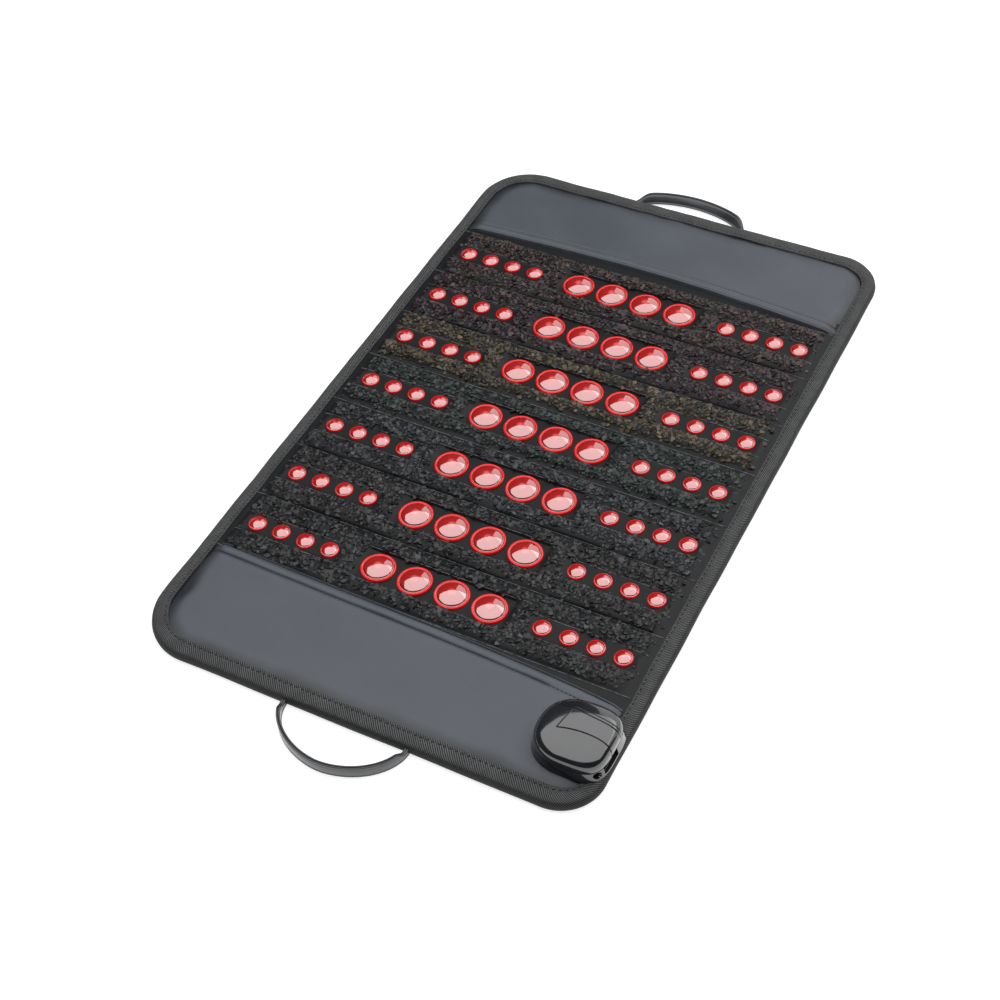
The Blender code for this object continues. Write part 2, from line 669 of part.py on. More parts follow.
def make_finishes():
    stones = (
        (0.080, 0.022, 0.020),
        (0.070, 0.014, 0.020),
        (0.110, 0.078, 0.025),
        (0.018, 0.040, 0.030),
        (0.026, 0.032, 0.045),
        (0.024, 0.025, 0.028),
        (0.022, 0.023, 0.025),
    )
    finishes = {
        "bottom_cover": make_material("bottom_cover", (0.030, 0.031, 0.034), 0.85),
        "insulation": make_material("insulation", (0.42, 0.41, 0.38), 0.95),
        "heating_sheet": make_material("heating_sheet", (0.10, 0.10, 0.11), 0.55),
        "end_panel": make_material("end_panel", (0.125, 0.140, 0.170), 0.42),
        "binding": make_material("binding", (0.060, 0.062, 0.066), 0.85),
        "led_board": make_material("led_board", (0.02, 0.10, 0.05), 0.45),
        "large_lens": make_material("large_lens", (0.75, 0.02, 0.02), 0.12, alpha=0.75),
        "small_lens": make_material("small_lens", (0.75, 0.03, 0.03), 0.15, alpha=0.75),
        "handle": make_material("handle", (0.035, 0.037, 0.042), 0.45),
        "connector_shell": make_material("connector_shell", (0.012, 0.012, 0.014), 0.10),
        "connector_strip": make_material("connector_strip", (0.014, 0.014, 0.016), 0.12),
        "power_socket": make_material("power_socket", (0.02, 0.02, 0.02), 0.40),
        "socket_contacts": make_material("socket_contacts", (0.80, 0.62, 0.30), 0.25, 1.0),
        "connector_board": make_material("connector_board", (0.02, 0.12, 0.06), 0.45),
        "power_lead": make_material("power_lead", (0.02, 0.02, 0.02), 0.50),
        "thermal_cutout": make_material("thermal_cutout", (0.70, 0.70, 0.72), 0.30, 1.0),
    }
    for row, colour in enumerate(stones, start=1):
        finishes[f"stone_{row}"] = make_material(f"stone_{row}", colour, 0.30)
    return finishes


def build():
    clear_scene()
    finishes = make_finishes()
    layer_inset = BINDING_WIDTH + CLEARANCE
    add_flat_layers("front", end_outline(-1, layer_inset), finishes)
    add_flat_layers("mid", middle_outline(), finishes)
    add_flat_layers("rear", end_outline(1, layer_inset), finishes)
    add_bindings(finishes["binding"])
    panels = add_end_panels(finishes["end_panel"])
    add_rows(finishes)
    add_handles(finishes["handle"])
    add_connector(finishes, panels[-1])


build()
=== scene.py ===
"""The looks of a folding heat mat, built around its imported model.

Everything is in metres in the model's frame: X across the mat, +Y to its far end, +Z up, with the
floor at 0. The sections follow the mat as it is put together, from the floor up.
"""

import json
import math

import bmesh
import bpy
import numpy as np
from mathutils import Matrix, Vector


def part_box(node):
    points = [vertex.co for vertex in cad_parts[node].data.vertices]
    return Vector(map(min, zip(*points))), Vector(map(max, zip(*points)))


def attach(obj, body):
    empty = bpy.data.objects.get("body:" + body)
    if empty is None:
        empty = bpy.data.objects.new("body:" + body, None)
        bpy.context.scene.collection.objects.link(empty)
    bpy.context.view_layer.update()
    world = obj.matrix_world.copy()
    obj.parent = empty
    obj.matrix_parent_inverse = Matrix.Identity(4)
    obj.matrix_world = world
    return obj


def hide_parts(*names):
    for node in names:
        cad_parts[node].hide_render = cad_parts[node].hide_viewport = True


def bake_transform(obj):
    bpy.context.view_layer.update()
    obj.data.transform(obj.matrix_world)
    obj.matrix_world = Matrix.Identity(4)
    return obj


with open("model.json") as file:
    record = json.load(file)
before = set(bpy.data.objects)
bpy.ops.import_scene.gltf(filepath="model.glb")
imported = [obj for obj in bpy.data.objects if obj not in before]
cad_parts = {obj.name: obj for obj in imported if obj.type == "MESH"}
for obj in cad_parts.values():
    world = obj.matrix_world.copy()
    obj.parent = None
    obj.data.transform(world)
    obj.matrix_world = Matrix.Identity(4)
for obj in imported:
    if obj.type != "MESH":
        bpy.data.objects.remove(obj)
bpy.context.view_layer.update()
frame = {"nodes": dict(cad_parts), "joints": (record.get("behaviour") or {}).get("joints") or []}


# ---------------------------------------------------------------------------------------------
# Bottom cover. A dark woven cloth closes the mat underneath. It is one layer, made as a near and
# a far half that meet in the middle of the mat.

HALF_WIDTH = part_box("front_binding")[1].x
HALF_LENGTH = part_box("rear_binding")[1].y
FOLD = {joint["name"]: Vector(joint["pos_m"]) for joint in frame["joints"]}
ENDS = {
    -1: ("front_section", "front_fold", "front"),
    1: ("rear_section", "rear_fold", "rear"),
}
CORNER_RADII = {(-1, -1): 0.060, (1, -1): 0.044, (-1, 1): 0.060, (1, 1): 0.048}
COVER_INSET = 0.0128
COVER_THICKNESS = 0.0008
COVER_FOLD_RUN = 0.0140
COVER_UNDER_Z = 0.0003
COVER_TUCK = 0.0011
LARGEST_CORNER = max(CORNER_RADII.values())


def add(tree, kind, inputs=None, **settings):
    """A node in a shader or geometry tree. A socket given as an input is linked, and a value is set."""
    node = tree.nodes.new(kind)
    for key, value in settings.items():
        setattr(node, key, value)
    for key, value in (inputs or {}).items():
        if isinstance(value, bpy.types.NodeSocket):
            tree.links.new(value, node.inputs[key])
        else:
            node.inputs[key].default_value = value
    return node


def new_finish(name, roughness, **sockets):
    """A material with one Principled shader. sockets are its constant values, by their names."""
    material = bpy.data.materials.new(name)
    material.use_nodes = True
    shader = material.node_tree.nodes["Principled BSDF"]
    shader.inputs["Roughness"].default_value = roughness
    for key, value in sockets.items():
        shader.inputs[key.replace("_", " ")].default_value = value
    return material, material.node_tree, shader


def blend_colours(tree, share, first, second, blend_type="MIX"):
    """The colour socket of a mix by share. Each colour is a tone or a socket."""
    inputs = {0: share}
    for key, colour in ((6, first), (7, second)):
        inputs[key] = colour if isinstance(colour, bpy.types.NodeSocket) else (*colour, 1.0)
    return add(tree, "ShaderNodeMix", inputs, data_type="RGBA", blend_type=blend_type).outputs[2]


def paint(tree, shader, share, first, second):
    """The shader's colour as a mix of two colours by share."""
    tree.links.new(blend_colours(tree, share, first, second), shader.inputs["Base Color"])


def own_place(tree):
    """Coordinates that stay with the piece."""
    return add(tree, "ShaderNodeTexCoord").outputs["Object"]


def noise(tree, place, scale, detail):
    inputs = {"Vector": place, "Scale": scale, "Detail": detail}
    return add(tree, "ShaderNodeTexNoise", inputs).outputs["Fac"]


def stepped(tree, value, low, high, to_low=0.0, to_high=1.0):
    """The value mapped smoothly from low..high to to_low..to_high."""
    inputs = {"Value": value, "From Min": low, "From Max": high, "To Min": to_low, "To Max": to_high}
    return add(tree, "ShaderNodeMapRange", inputs, interpolation_type="SMOOTHSTEP").outputs[0]


def relief(tree, shader, height, strength, distance):
    """Bump on the shader from a height socket."""
    bump = add(tree, "ShaderNodeBump", {"Height": height, "Strength": strength, "Distance": distance})
    tree.links.new(bump.outputs[0], shader.inputs["Normal"])


def math_node(tree, operation, first, second=0.0, third=0.0):
    inputs = {0: first, 1: second, 2: third}
    return add(tree, "ShaderNodeMath", inputs, operation=operation).outputs[0]


def woven_cloth(name, thread, dark, light, roughness):
    """Plain cloth: two crossing sets of threads in Object coordinates."""
    material, tree, shader = new_finish(name, roughness, Sheen_Weight=0.2)
    place = own_place(tree)
    scale = 2 * math.pi / (10 * thread)
    warp = add(tree, "ShaderNodeTexWave", {"Vector": place, "Scale": scale}, bands_direction="X")
    weft = add(tree, "ShaderNodeTexWave", {"Vector": place, "Scale": scale}, bands_direction="Y")
    weave = math_node(tree, "MULTIPLY", warp.outputs["Fac"], weft.outputs["Fac"])
    wear = noise(tree, place, 30.0, 4.0)
    share = math_node(tree, "MULTIPLY", weave, stepped(tree, wear, 0.3, 0.7, 0.6, 1.2))
    paint(tree, shader, share, dark, light)
    relief(tree, shader, weave, 0.6, 0.0003)
    return material


def put(name, data):
    """An object that holds this data, in the scene."""
    piece = bpy.data.objects.new(name, data)
    bpy.context.scene.collection.objects.link(piece)
    return piece


def make_piece(name, points, faces, finish, smooth=True):
    """A mesh object in the model's frame."""
    mesh = bpy.data.meshes.new(name)
    mesh.from_pydata([tuple(point) for point in points], [], [tuple(face) for face in faces])
    if smooth:
        mesh.shade_smooth()
    mesh.materials.append(finish)
    return put(name, mesh)


def grid_faces(rows, columns, closed=False):
    """Faces of a grid whose points run along each row. A closed grid joins each row's two ends."""
    faces = []
    for row in range(rows - 1):
        for column in range(columns if closed else columns - 1):
            after = (column + 1) % columns
            low, high = row * columns, (row + 1) * columns
            faces.append((low + column, low + after, high + after, high + column))
    return faces


def half_span(side, end, y, inset):
    """How far the mat reaches to one side at this y, measured this far inside its edge."""
    radius = CORNER_RADII[side, end]
    past = abs(y) - (HALF_LENGTH - radius)
    if past <= 0:
        return HALF_WIDTH - inset
    inner = radius - inset
    return HALF_WIDTH - radius + math.sqrt(max(inner * inner - past * past, 0.0))


def set_values(mesh, name, values):
    """Stores one number for each point of the mesh."""
    attribute = mesh.attributes.new(name, "FLOAT", "POINT")
    attribute.data.foreach_set("value", np.asarray(values, np.float32))


def bend_over_fold(piece, end):
    """Bakes the piece's placement into its mesh, the same for either end."""
    if end < 0:
        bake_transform(piece)
    else:
        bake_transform(piece)


def cover_rows(end):
    """The y of each row of the cover, closer together at the fold and in the rounded corners."""
    fold = abs(FOLD[ENDS[end][1]].y)
    near = np.linspace(0, fold + COVER_FOLD_RUN, 36)
    plain = np.linspace(fold + COVER_FOLD_RUN, HALF_LENGTH - LARGEST_CORNER, 34)
    turn = np.linspace(0, math.pi / 2, 14)
    corner = HALF_LENGTH - LARGEST_CORNER + (LARGEST_CORNER - COVER_INSET) * np.sin(turn)
    return end * np.unique(np.round(np.concatenate((near, plain, corner)), 6))


cover_finish = woven_cloth("bottom_cover", 0.0011, (0.010, 0.010, 0.012), (0.060, 0.062, 0.068), 0.85)
for end, (section, fold, word) in ENDS.items():
    ys = cover_rows(end)
    shares = np.linspace(-1, 1, 58)
    points = []
    for y in ys:
        left = half_span(-1, end, y, COVER_INSET)
        right = half_span(1, end, y, COVER_INSET)
        for share in shares:
            x = share * (right if share > 0 else left)
            side = 1 if share > 0 else -1
            edge = min(half_span(side, end, y, 0.0) - abs(x), HALF_LENGTH - abs(y))
            tuck = COVER_TUCK * (1 - min(max((edge - 0.0150) / 0.006, 0.0), 1.0))
            points.append((x, y, COVER_UNDER_Z + tuck))
    faces = grid_faces(len(ys), len(shares))
    if end > 0:
        faces = [face[::-1] for face in faces]
    cover = make_piece(f"{word}_cover_cloth", points, faces, cover_finish)
    shell = cover.modifiers.new("cloth", "SOLIDIFY")
    shell.thickness = COVER_THICKNESS
    shell.offset = -1.0
    bend_over_fold(cover, end)
    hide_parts(f"{word}_bottom_cover", *(["mid_bottom_cover"] if end < 0 else []))


# ---------------------------------------------------------------------------------------------
# Inner layers. Felt insulation, a heating sheet of carbon cloth and the light boards lie inside,
# loose in their section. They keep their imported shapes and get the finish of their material.


def dress(node, finish):
    """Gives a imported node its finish. Its shape stays."""
    mesh = frame["nodes"][node].data
    mesh.materials.clear()
    mesh.materials.append(finish)


felt, tree, shader = new_finish("felt", 0.95, Sheen_Weight=0.4)
place = own_place(tree)
fibres = noise(tree, place, 900.0, 6.0)
paint(tree, shader, stepped(tree, fibres, 0.3, 0.7), (0.30, 0.29, 0.26), (0.52, 0.51, 0.47))
relief(tree, shader, fibres, 0.5, 0.0004)

carbon = woven_cloth("carbon_cloth", 0.0016, (0.030, 0.030, 0.033), (0.150, 0.150, 0.160), 0.45)


def printed_board(name, mask_colour, track_colour):
    """Circuit board: a satin mask with slightly raised tracks under it."""
    material, tree, shader = new_finish(name, 0.4)
    place = own_place(tree)
    inputs = {"Vector": place, "Scale": 1.0, "Mortar Size": 0.0012, "Brick Width": 0.006}
    inputs["Row Height"] = 0.0024
    tracks = add(tree, "ShaderNodeTexBrick", inputs).outputs["Fac"]
    paint(tree, shader, tracks, mask_colour, track_colour)
    relief(tree, shader, tracks, 0.4, 0.0001)
    return material


board_finish = printed_board("printed_board", (0.010, 0.085, 0.040), (0.030, 0.180, 0.080))
for word in ("front", "mid", "rear"):
    dress(f"{word}_insulation", felt)
    dress(f"{word}_heating_sheet", carbon)
for row in range(1, 8):
    dress(f"led_board_{row}", board_finish)


# ---------------------------------------------------------------------------------------------
# Stone pockets. Seven bands of crushed stone lie under a dark clear film that is welded down
# between them and round the lens groups. The film is one bed for each band, with the stones
# scattered over it by a Geometry Nodes tree, half sunk, each with its own shade.

ROW_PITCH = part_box("stone_pocket_3")[0].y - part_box("stone_pocket_4")[0].y
FIELD_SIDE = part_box("stone_pocket_4")[1].x
WELD_Z = FOLD["front_fold"].z
BED_UNDER_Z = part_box("stone_pocket_4")[0].z + 0.0002
TUBE_CREST = 0.0056
TUBE_CREST_Y = 0.0250
TUBE_HALF_WIDTH = 0.0132
MIDDLE_FILL = 0.0038
ISLAND_LEVEL = 0.0008
LARGE_ISLAND = (0.0, 0.0835, 0.0200)
SMALL_ISLANDS = ((-0.1596, 0.0545, 0.0124), (0.1596, 0.0545, 0.0124))
MARGIN_RUN = 0.0180
FOLD_SLOPE = 0.90
FOLD_GAP = 0.0030
SEAM_GAP = 0.0001
STONE_GAP = 0.0035
STONE_SIZE = 0.0033
STONE_KINDS = 7
STONE_DENSITY = 400000.0


def soft(value, low, high):
    """0 below low, 1 above high, smooth in between. It takes arrays."""
    share = np.clip((value - low) / (high - low), 0, 1)
    return share * share * (3 - 2 * share)


def ripple(x, y, seed):
    """A smooth uneven surface about 0, within 1 either way, made of crossing waves."""
    total = 0
    for index in range(5):
        turn = seed * 1.7 + index * 2.399
        wave = 1 + 0.45 * index
        total = total + np.sin(wave * (x * math.cos(turn) + y * math.sin(turn)) + 3.1 * turn) / wave
    return total / 2.4


def island_share(x, dy):
    """1 on the flat islands that the lenses stand on, 0 off them."""
    share = 0
    for centre, half_length, half_width in (LARGE_ISLAND, *SMALL_ISLANDS):
        along = 1 - soft(np.abs(x - centre), half_length - 0.003, half_length + 0.003)
        across = 1 - soft(np.abs(dy), half_width - 0.0015, half_width + 0.0020)
        share = np.maximum(share, along * across)
    return share


def fold_room(dy, row):
    """How high a band may stand here, so that it clears its neighbour when the seam folds."""
    folds = (row == 4) | ((row == 3) & (dy < 0)) | ((row == 5) & (dy > 0))
    from_seam = ROW_PITCH / 2 - np.abs(dy)
    return np.where(folds, np.maximum(FOLD_SLOPE * from_seam - FOLD_GAP, 0.0), TUBE_CREST + 0.002)


def bed_height(x, dy, row):
    """The film's height above the welds at this place in a band."""
    off = np.clip((np.abs(dy) - TUBE_CREST_Y) / TUBE_HALF_WIDTH, -1, 1)
    tube = TUBE_CREST * (1 - off * off) ** 0.8
    middle = MIDDLE_FILL * (1 - soft(np.abs(dy), 0.006, 0.020))
    filled = np.maximum(tube, middle) + 0.0006 * ripple(x / 0.016, dy / 0.012, row) * (tube > 0.001)
    filled = np.minimum(filled, fold_room(dy, row))
    islands = island_share(x, dy)
    level = filled * (1 - islands) + ISLAND_LEVEL * islands
    return level * (1 - soft(np.abs(x), FIELD_SIDE - MARGIN_RUN, FIELD_SIDE - 0.004))


def stone_share(x, dy, row):
    """How thickly the stones lie: none on islands, welds and margins."""
    clear = island_share(x, dy)
    weld = soft(ROW_PITCH / 2 - np.abs(dy), 0.0022, 0.0050) * (fold_room(dy, row) > 0.0016)
    margin = 1 - soft(np.abs(x), FIELD_SIDE - 0.018, FIELD_SIDE - 0.003)
    return weld * margin * np.clip(1 - 2.5 * clear, 0, 1)


STONE_TONES = {
    1: ((0.010, 0.007, 0.007), (0.034, 0.015, 0.014), (0.110, 0.075, 0.052)),
    2: ((0.009, 0.006, 0.008), (0.028, 0.011, 0.014), (0.090, 0.055, 0.052)),
    3: ((0.014, 0.011, 0.009), (0.062, 0.046, 0.022), (0.170, 0.140, 0.095)),
    4: ((0.007, 0.009, 0.009), (0.014, 0.023, 0.021), (0.060, 0.080, 0.074)),
    5: ((0.008, 0.009, 0.011), (0.018, 0.020, 0.025), (0.090, 0.096, 0.106)),
    6: ((0.007, 0.007, 0.008), (0.014, 0.014, 0.016), (0.070, 0.072, 0.076)),
    7: ((0.007, 0.007, 0.008), (0.013, 0.014, 0.016), (0.085, 0.088, 0.092)),
}


def colour_ramp(tree, value, tones):
    """A run of colours through these tones, each with its place between 0 and 1."""
    ramp = add(tree, "ShaderNodeValToRGB", {"Fac": value})
    stops = ramp.color_ramp.elements
    for index, (position, tone) in ((0, tones[0]), (1, tones[-1])):
        stops[index].position, stops[index].color = position, (*tone, 1.0)
    for position, tone in tones[1:-1]:
        stops.new(position).color = (*tone, 1.0)
    return ramp.outputs[0]


def stone_finish(row):
    """Crushed stone under film: each stone has its own shade, with a gloss that comes from the film."""
    dark, main, pale = STONE_TONES[row]
    material, tree, shader = new_finish(f"stone_{row}", 0.36, Specular_IOR_Level=0.45)
    place = own_place(tree)
    shade = add(tree, "ShaderNodeAttribute", attribute_name="stone_shade").outputs["Fac"]
    grain = noise(tree, place, 600.0, 5.0)
    lit = tuple(1.7 * part for part in main)
    tone = colour_ramp(tree, shade, ((0.0, dark), (0.55, main), (0.86, lit), (1.0, pale)))
    paint(tree, shader, stepped(tree, grain, 0.35, 0.65), tone, blend_colours(tree, 0.45, tone, dark))
    relief(tree, shader, grain, 0.3, 0.0004)
    return material


def film_finish(row):
    """Dark clear film over fine dust of the same stone."""
    dark, main, _ = STONE_TONES[row]
    material, tree, shader = new_finish(f"film_{row}", 0.46, Specular_IOR_Level=0.25)
    place = own_place(tree)
    dust = noise(tree, place, 260.0, 6.0)
    tint = tuple(0.55 * part for part in main)
    share = stepped(tree, dust, 0.45, 0.75)
    cover = add(tree, "ShaderNodeAttribute", attribute_name="stone_cover").outputs["Fac"]
    share = math_node(tree, "MULTIPLY", share, cover)
    paint(tree, shader, share, (0.0085, 0.0092, 0.0105), tint)
    relief(tree, shader, dust, 0.25, 0.0005)
    return material


def random_vector(tree, low, high, seed):
    inputs = {0: low, 1: high, "Seed": seed}
    return add(tree, "FunctionNodeRandomValue", inputs, data_type="FLOAT_VECTOR").outputs[0]


def chip_instances(tree, kinds, seed):
    """Several angular chips, each the hull of a few random points on a ball, as one set of instances."""
    joined = tree.nodes.new("GeometryNodeJoinGeometry")
    for kind in range(kinds):
        corners = random_vector(tree, (-1, -1, -1), (1, 1, 1), seed + kind)
        onto_ball = add(tree, "ShaderNodeVectorMath", {0: corners}, operation="NORMALIZE")
        cloud = add(tree, "GeometryNodePoints", {"Count": 12 + kind % 3, "Position": onto_ball.outputs[0]})
        hull = add(tree, "GeometryNodeConvexHull", {"Geometry": cloud.outputs[0]})
        chip = add(tree, "GeometryNodeGeometryToInstance", {"Geometry": hull.outputs[0]})
        tree.links.new(chip.outputs[0], joined.inputs[0])
    return joined.outputs[0]


def random_number(tree, low, high, seed):
    inputs = {2: low, 3: high, "Seed": seed}
    return add(tree, "FunctionNodeRandomValue", inputs, data_type="FLOAT").outputs[1]


def new_tree(name, inputs):
    """A Geometry Nodes tree with these named inputs, its input node and its output node."""
    tree = bpy.data.node_groups.new(name, "GeometryNodeTree")
    tree.interface.new_socket("Geometry", in_out="INPUT", socket_type="NodeSocketGeometry")
    for label, kind in inputs.items():
        tree.interface.new_socket(label, in_out="INPUT", socket_type="NodeSocket" + kind)
    tree.interface.new_socket("Geometry", in_out="OUTPUT", socket_type="NodeSocketGeometry")
    return tree, tree.nodes.new("NodeGroupInput"), tree.nodes.new("NodeGroupOutput")


def finish_tree(tree, geometry, source, target):
    """Realises the instances and gives them the material of the Finish input."""
    real = add(tree, "GeometryNodeRealizeInstances", {"Geometry": geometry})
    inputs = {"Geometry": real.outputs[0], "Material": source.outputs["Finish"]}
    dressed = add(tree, "GeometryNodeSetMaterial", inputs)
    tree.links.new(dressed.outputs[0], target.inputs[0])


def grow(name, base, tree, values):
    """The plain mesh object that a tree makes from a base mesh with these input values."""
    holder = put(name + "_base", base)
    modifier = holder.modifiers.new("tree", "NODES")
    modifier.node_group = tree
    for item in tree.interface.items_tree:
        if item.in_out == "INPUT" and item.name in values:
            modifier[item.identifier] = values[item.name]
    bpy.context.view_layer.update()
    evaluated = holder.evaluated_get(bpy.context.evaluated_depsgraph_get())
    mesh = bpy.data.meshes.new_from_object(evaluated)
    bpy.data.objects.remove(holder)
    mesh.name = name
    return put(name, mesh)


stone_tree, source, target = new_tree(
    "scattered_stones", {"Gap": "Float", "Size": "Float", "Seed": "Int", "Finish": "Material"}
)
cover_field = add(stone_tree, "GeometryNodeInputNamedAttribute", {"Name": "stone_cover"}, data_type="FLOAT")
inputs = {
    "Mesh": source.outputs[0],
    "Distance Min": source.outputs["Gap"],
    "Density Max": STONE_DENSITY,
    "Density Factor": cover_field.outputs[0],
    "Seed": source.outputs["Seed"],
}
scatter = add(stone_tree, "GeometryNodeDistributePointsOnFaces", inputs, distribute_method="POISSON")
chips = chip_instances(stone_tree, STONE_KINDS, 40)
spin = random_vector(stone_tree, (-0.35, -0.35, -3.14), (0.35, 0.35, 3.14), 5)
size = math_node(stone_tree, "MULTIPLY", source.outputs["Size"], random_number(stone_tree, 0.55, 1.35, 6))
narrow = math_node(stone_tree, "MULTIPLY", size, random_number(stone_tree, 0.6, 1.0, 7))
low_size = math_node(stone_tree, "MULTIPLY", size, 0.42)
shape = add(stone_tree, "ShaderNodeCombineXYZ", {0: size, 1: narrow, 2: low_size})
inputs = {4: 0, 5: STONE_KINDS - 1, "Seed": 8}
pick = add(stone_tree, "FunctionNodeRandomValue", inputs, data_type="INT")
inputs = {
    "Points": scatter.outputs[0],
    "Instance": chips,
    "Pick Instance": True,
    "Instance Index": pick.outputs[2],
    "Scale": shape.outputs[0],
}
placed = add(stone_tree, "GeometryNodeInstanceOnPoints", inputs)
turned = add(stone_tree, "GeometryNodeRotateInstances", {"Instances": placed.outputs[0], "Rotation": spin})
inputs = {
    "Geometry": turned.outputs[0],
    "Name": "stone_shade",
    "Value": random_number(stone_tree, 0.0, 1.0, 9),
}
shades = add(stone_tree, "GeometryNodeStoreNamedAttribute", inputs, data_type="FLOAT", domain="INSTANCE")
finish_tree(stone_tree, shades.outputs[0], source, target)


def bed_grid(row):
    """The film's points over one band, its row count and column count."""
    half = ROW_PITCH / 2 - SEAM_GAP
    low, high = -half, half
    xs = np.linspace(-FIELD_SIDE - 0.003, FIELD_SIDE + 0.003, 186)
    dys = np.linspace(low, high, 41)
    if row == 1:
        dys = np.append(dys, half + np.linspace(0.002, 0.022, 8))
    if row == 7:
        dys = np.append(-half - np.linspace(0.022, 0.002, 8), dys)
    x, dy = np.meshgrid(xs, dys)
    inside = np.clip(dy, -half, half)
    z = WELD_Z + bed_height(x, inside, row)
    z = z - 0.0012 * soft(np.abs(dy), half, half + 0.004)
    z = z - 0.0012 * soft(np.abs(x), FIELD_SIDE - 0.001, FIELD_SIDE + 0.002)
    cover = stone_share(x, inside, row) * (np.abs(dy) <= half)
    return x, dy, z, cover


def close_under(points, rows, columns, floor_z):
    """Faces that drop a skirt from the grid's rim and close it underneath, with the points they need."""
    rim = list(range(columns))
    rim += [row * columns + columns - 1 for row in range(1, rows)]
    rim += [(rows - 1) * columns + column for column in range(columns - 2, -1, -1)]
    rim += [row * columns for row in range(rows - 2, 0, -1)]
    start = len(points)
    extra = [(points[index][0], points[index][1], floor_z) for index in rim]
    faces = []
    count = len(rim)
    for index in range(count):
        after = (index + 1) % count
        faces.append((rim[after], rim[index], start + index, start + after))
    faces.append(tuple(start + index for index in reversed(range(count))))
    return extra, faces


def body_of_row(row):
    return "rear_section" if row < 4 else "middle_section" if row == 4 else "front_section"


for row in range(1, 8):
    centre_y = (4 - row) * ROW_PITCH
    x, dy, z, cover = bed_grid(row)
    rows, columns = x.shape
    points = [tuple(point) for point in np.stack((x, dy + centre_y, z), axis=-1).reshape(-1, 3)]
    top = grid_faces(rows, columns)
    film = film_finish(row)
    scatter_base = bpy.data.meshes.new("scatter_base")
    scatter_base.from_pydata(points, [], top)
    set_values(scatter_base, "stone_cover", cover.reshape(-1))
    extra, skirt = close_under(points, rows, columns, BED_UNDER_Z)
    bed = make_piece(f"stone_bed_{row}", points + extra, top + skirt, film)
    set_values(bed.data, "stone_cover", np.append(cover.reshape(-1), np.zeros(len(extra))))
    bed.data.set_sharp_from_angle(angle=math.radians(50))
    stones = grow(
        f"stones_{row}",
        scatter_base,
        stone_tree,
        {"Gap": STONE_GAP, "Size": STONE_SIZE, "Seed": 20 + row, "Finish": stone_finish(row)},
    )
    for piece in (bed, stones):
        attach(piece, body_of_row(row))
    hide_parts(f"stone_pocket_{row}")


# ---------------------------------------------------------------------------------------------
# Film welds. The film is welded to the cloth below along the seams between the bands and beside
# each lens group, which leaves a fine smooth ridge that catches the light; its pale grey colour is also a
# painted highlight.

WELD_RADIUS = 0.00045

bead_tree, source, target = new_tree("swept_bead", {"Radius": "Float", "Sides": "Int", "Finish": "Material"})
spine = add(bead_tree, "GeometryNodeMeshToCurve", {"Mesh": source.outputs[0]})
inputs = {"Radius": source.outputs["Radius"], "Resolution": source.outputs["Sides"]}
ring = add(bead_tree, "GeometryNodeCurvePrimitiveCircle", inputs)
inputs = {"Curve": spine.outputs[0], "Profile Curve": ring.outputs[0], "Fill Caps": True}
swept = add(bead_tree, "GeometryNodeCurveToMesh", inputs)
finish_tree(bead_tree, swept.outputs[0], source, target)


def lines_mesh(name, lines):
    """A mesh of open lines, each a list of points."""
    points, edges = [], []
    for line in lines:
        start = len(points)
        points += [tuple(point) for point in line]
        edges += [(start + index, start + index + 1) for index in range(len(line) - 1)]
    mesh = bpy.data.meshes.new(name)
    mesh.from_pydata(points, edges, [])
    return mesh


# Painted highlight: the weld's pale grey stands in for the light that the ridge catches.
weld_highlight_finish, tree, shader = new_finish("weld", 0.3)
place = own_place(tree)
mottle = noise(tree, place, 180.0, 3.0)
paint(tree, shader, stepped(tree, mottle, 0.35, 0.65), (0.030, 0.031, 0.033), (0.170, 0.175, 0.180))
relief(tree, shader, mottle, 0.3, 0.0003)

for row in range(1, 8):
    centre_y = (4 - row) * ROW_PITCH
    runs = [(-FIELD_SIDE + 0.001, FIELD_SIDE - 0.001, -ROW_PITCH / 2)]
    if row == 1:
        runs.append((-FIELD_SIDE + 0.001, FIELD_SIDE - 0.001, ROW_PITCH / 2))
    for centre, half_length, half_width in (LARGE_ISLAND, *SMALL_ISLANDS):
        for way in (-1, 1):
            low = max(centre - half_length - 0.010, -FIELD_SIDE + 0.006)
            high = min(centre + half_length + 0.010, FIELD_SIDE - 0.006)
            runs.append((low, high, way * (half_width + 0.0006)))
    lines = []
    for low, high, dy in runs:
        xs = np.linspace(low, high, max(12, round((high - low) / 0.004)))
        zs = WELD_Z + bed_height(xs, np.full_like(xs, dy), row)
        lines.append(np.stack((xs, np.full_like(xs, centre_y + dy), zs), axis=-1))
    values = {"Radius": WELD_RADIUS, "Sides": 6, "Finish": weld_highlight_finish}
    welds = grow(f"film_welds_{row}", lines_mesh("weld_lines", lines), bead_tree, values)
    welds.data.shade_smooth()
    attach(welds, body_of_row(row))


# ---------------------------------------------------------------------------------------------
# Lenses. Clear red caps over the lights: a flange with a rolled rim, a fine groove, and a polished
# dome. One turned cap is repeated by a Geometry Nodes tree, each standing very slightly askew.

LENS_FOOT_Z = WELD_Z + ISLAND_LEVEL - 0.0001
LARGE_PROFILE = (
    (0.0178, -0.0006),
    (0.0180, 0.0004),
    (0.0180, 0.0014),
    (0.0177, 0.0021),
    (0.0171, 0.0024),
    (0.0163, 0.0024),
    (0.0157, 0.0021),
    (0.0153, 0.0018),
    (0.0149, 0.0021),
    (0.0146, 0.0028),
)
SMALL_PROFILE = (
    (0.0092, -0.0006),
    (0.0094, 0.0004),
    (0.0094, 0.0012),
    (0.0091, 0.0018),
    (0.0086, 0.0020),
    (0.0082, 0.0019),
    (0.0079, 0.0023),
)
LENS_DOMES = {"large": 0.0036, "small": 0.0026}
LENS_PITCHES = {"large": 0.0410, "small": 0.0282}


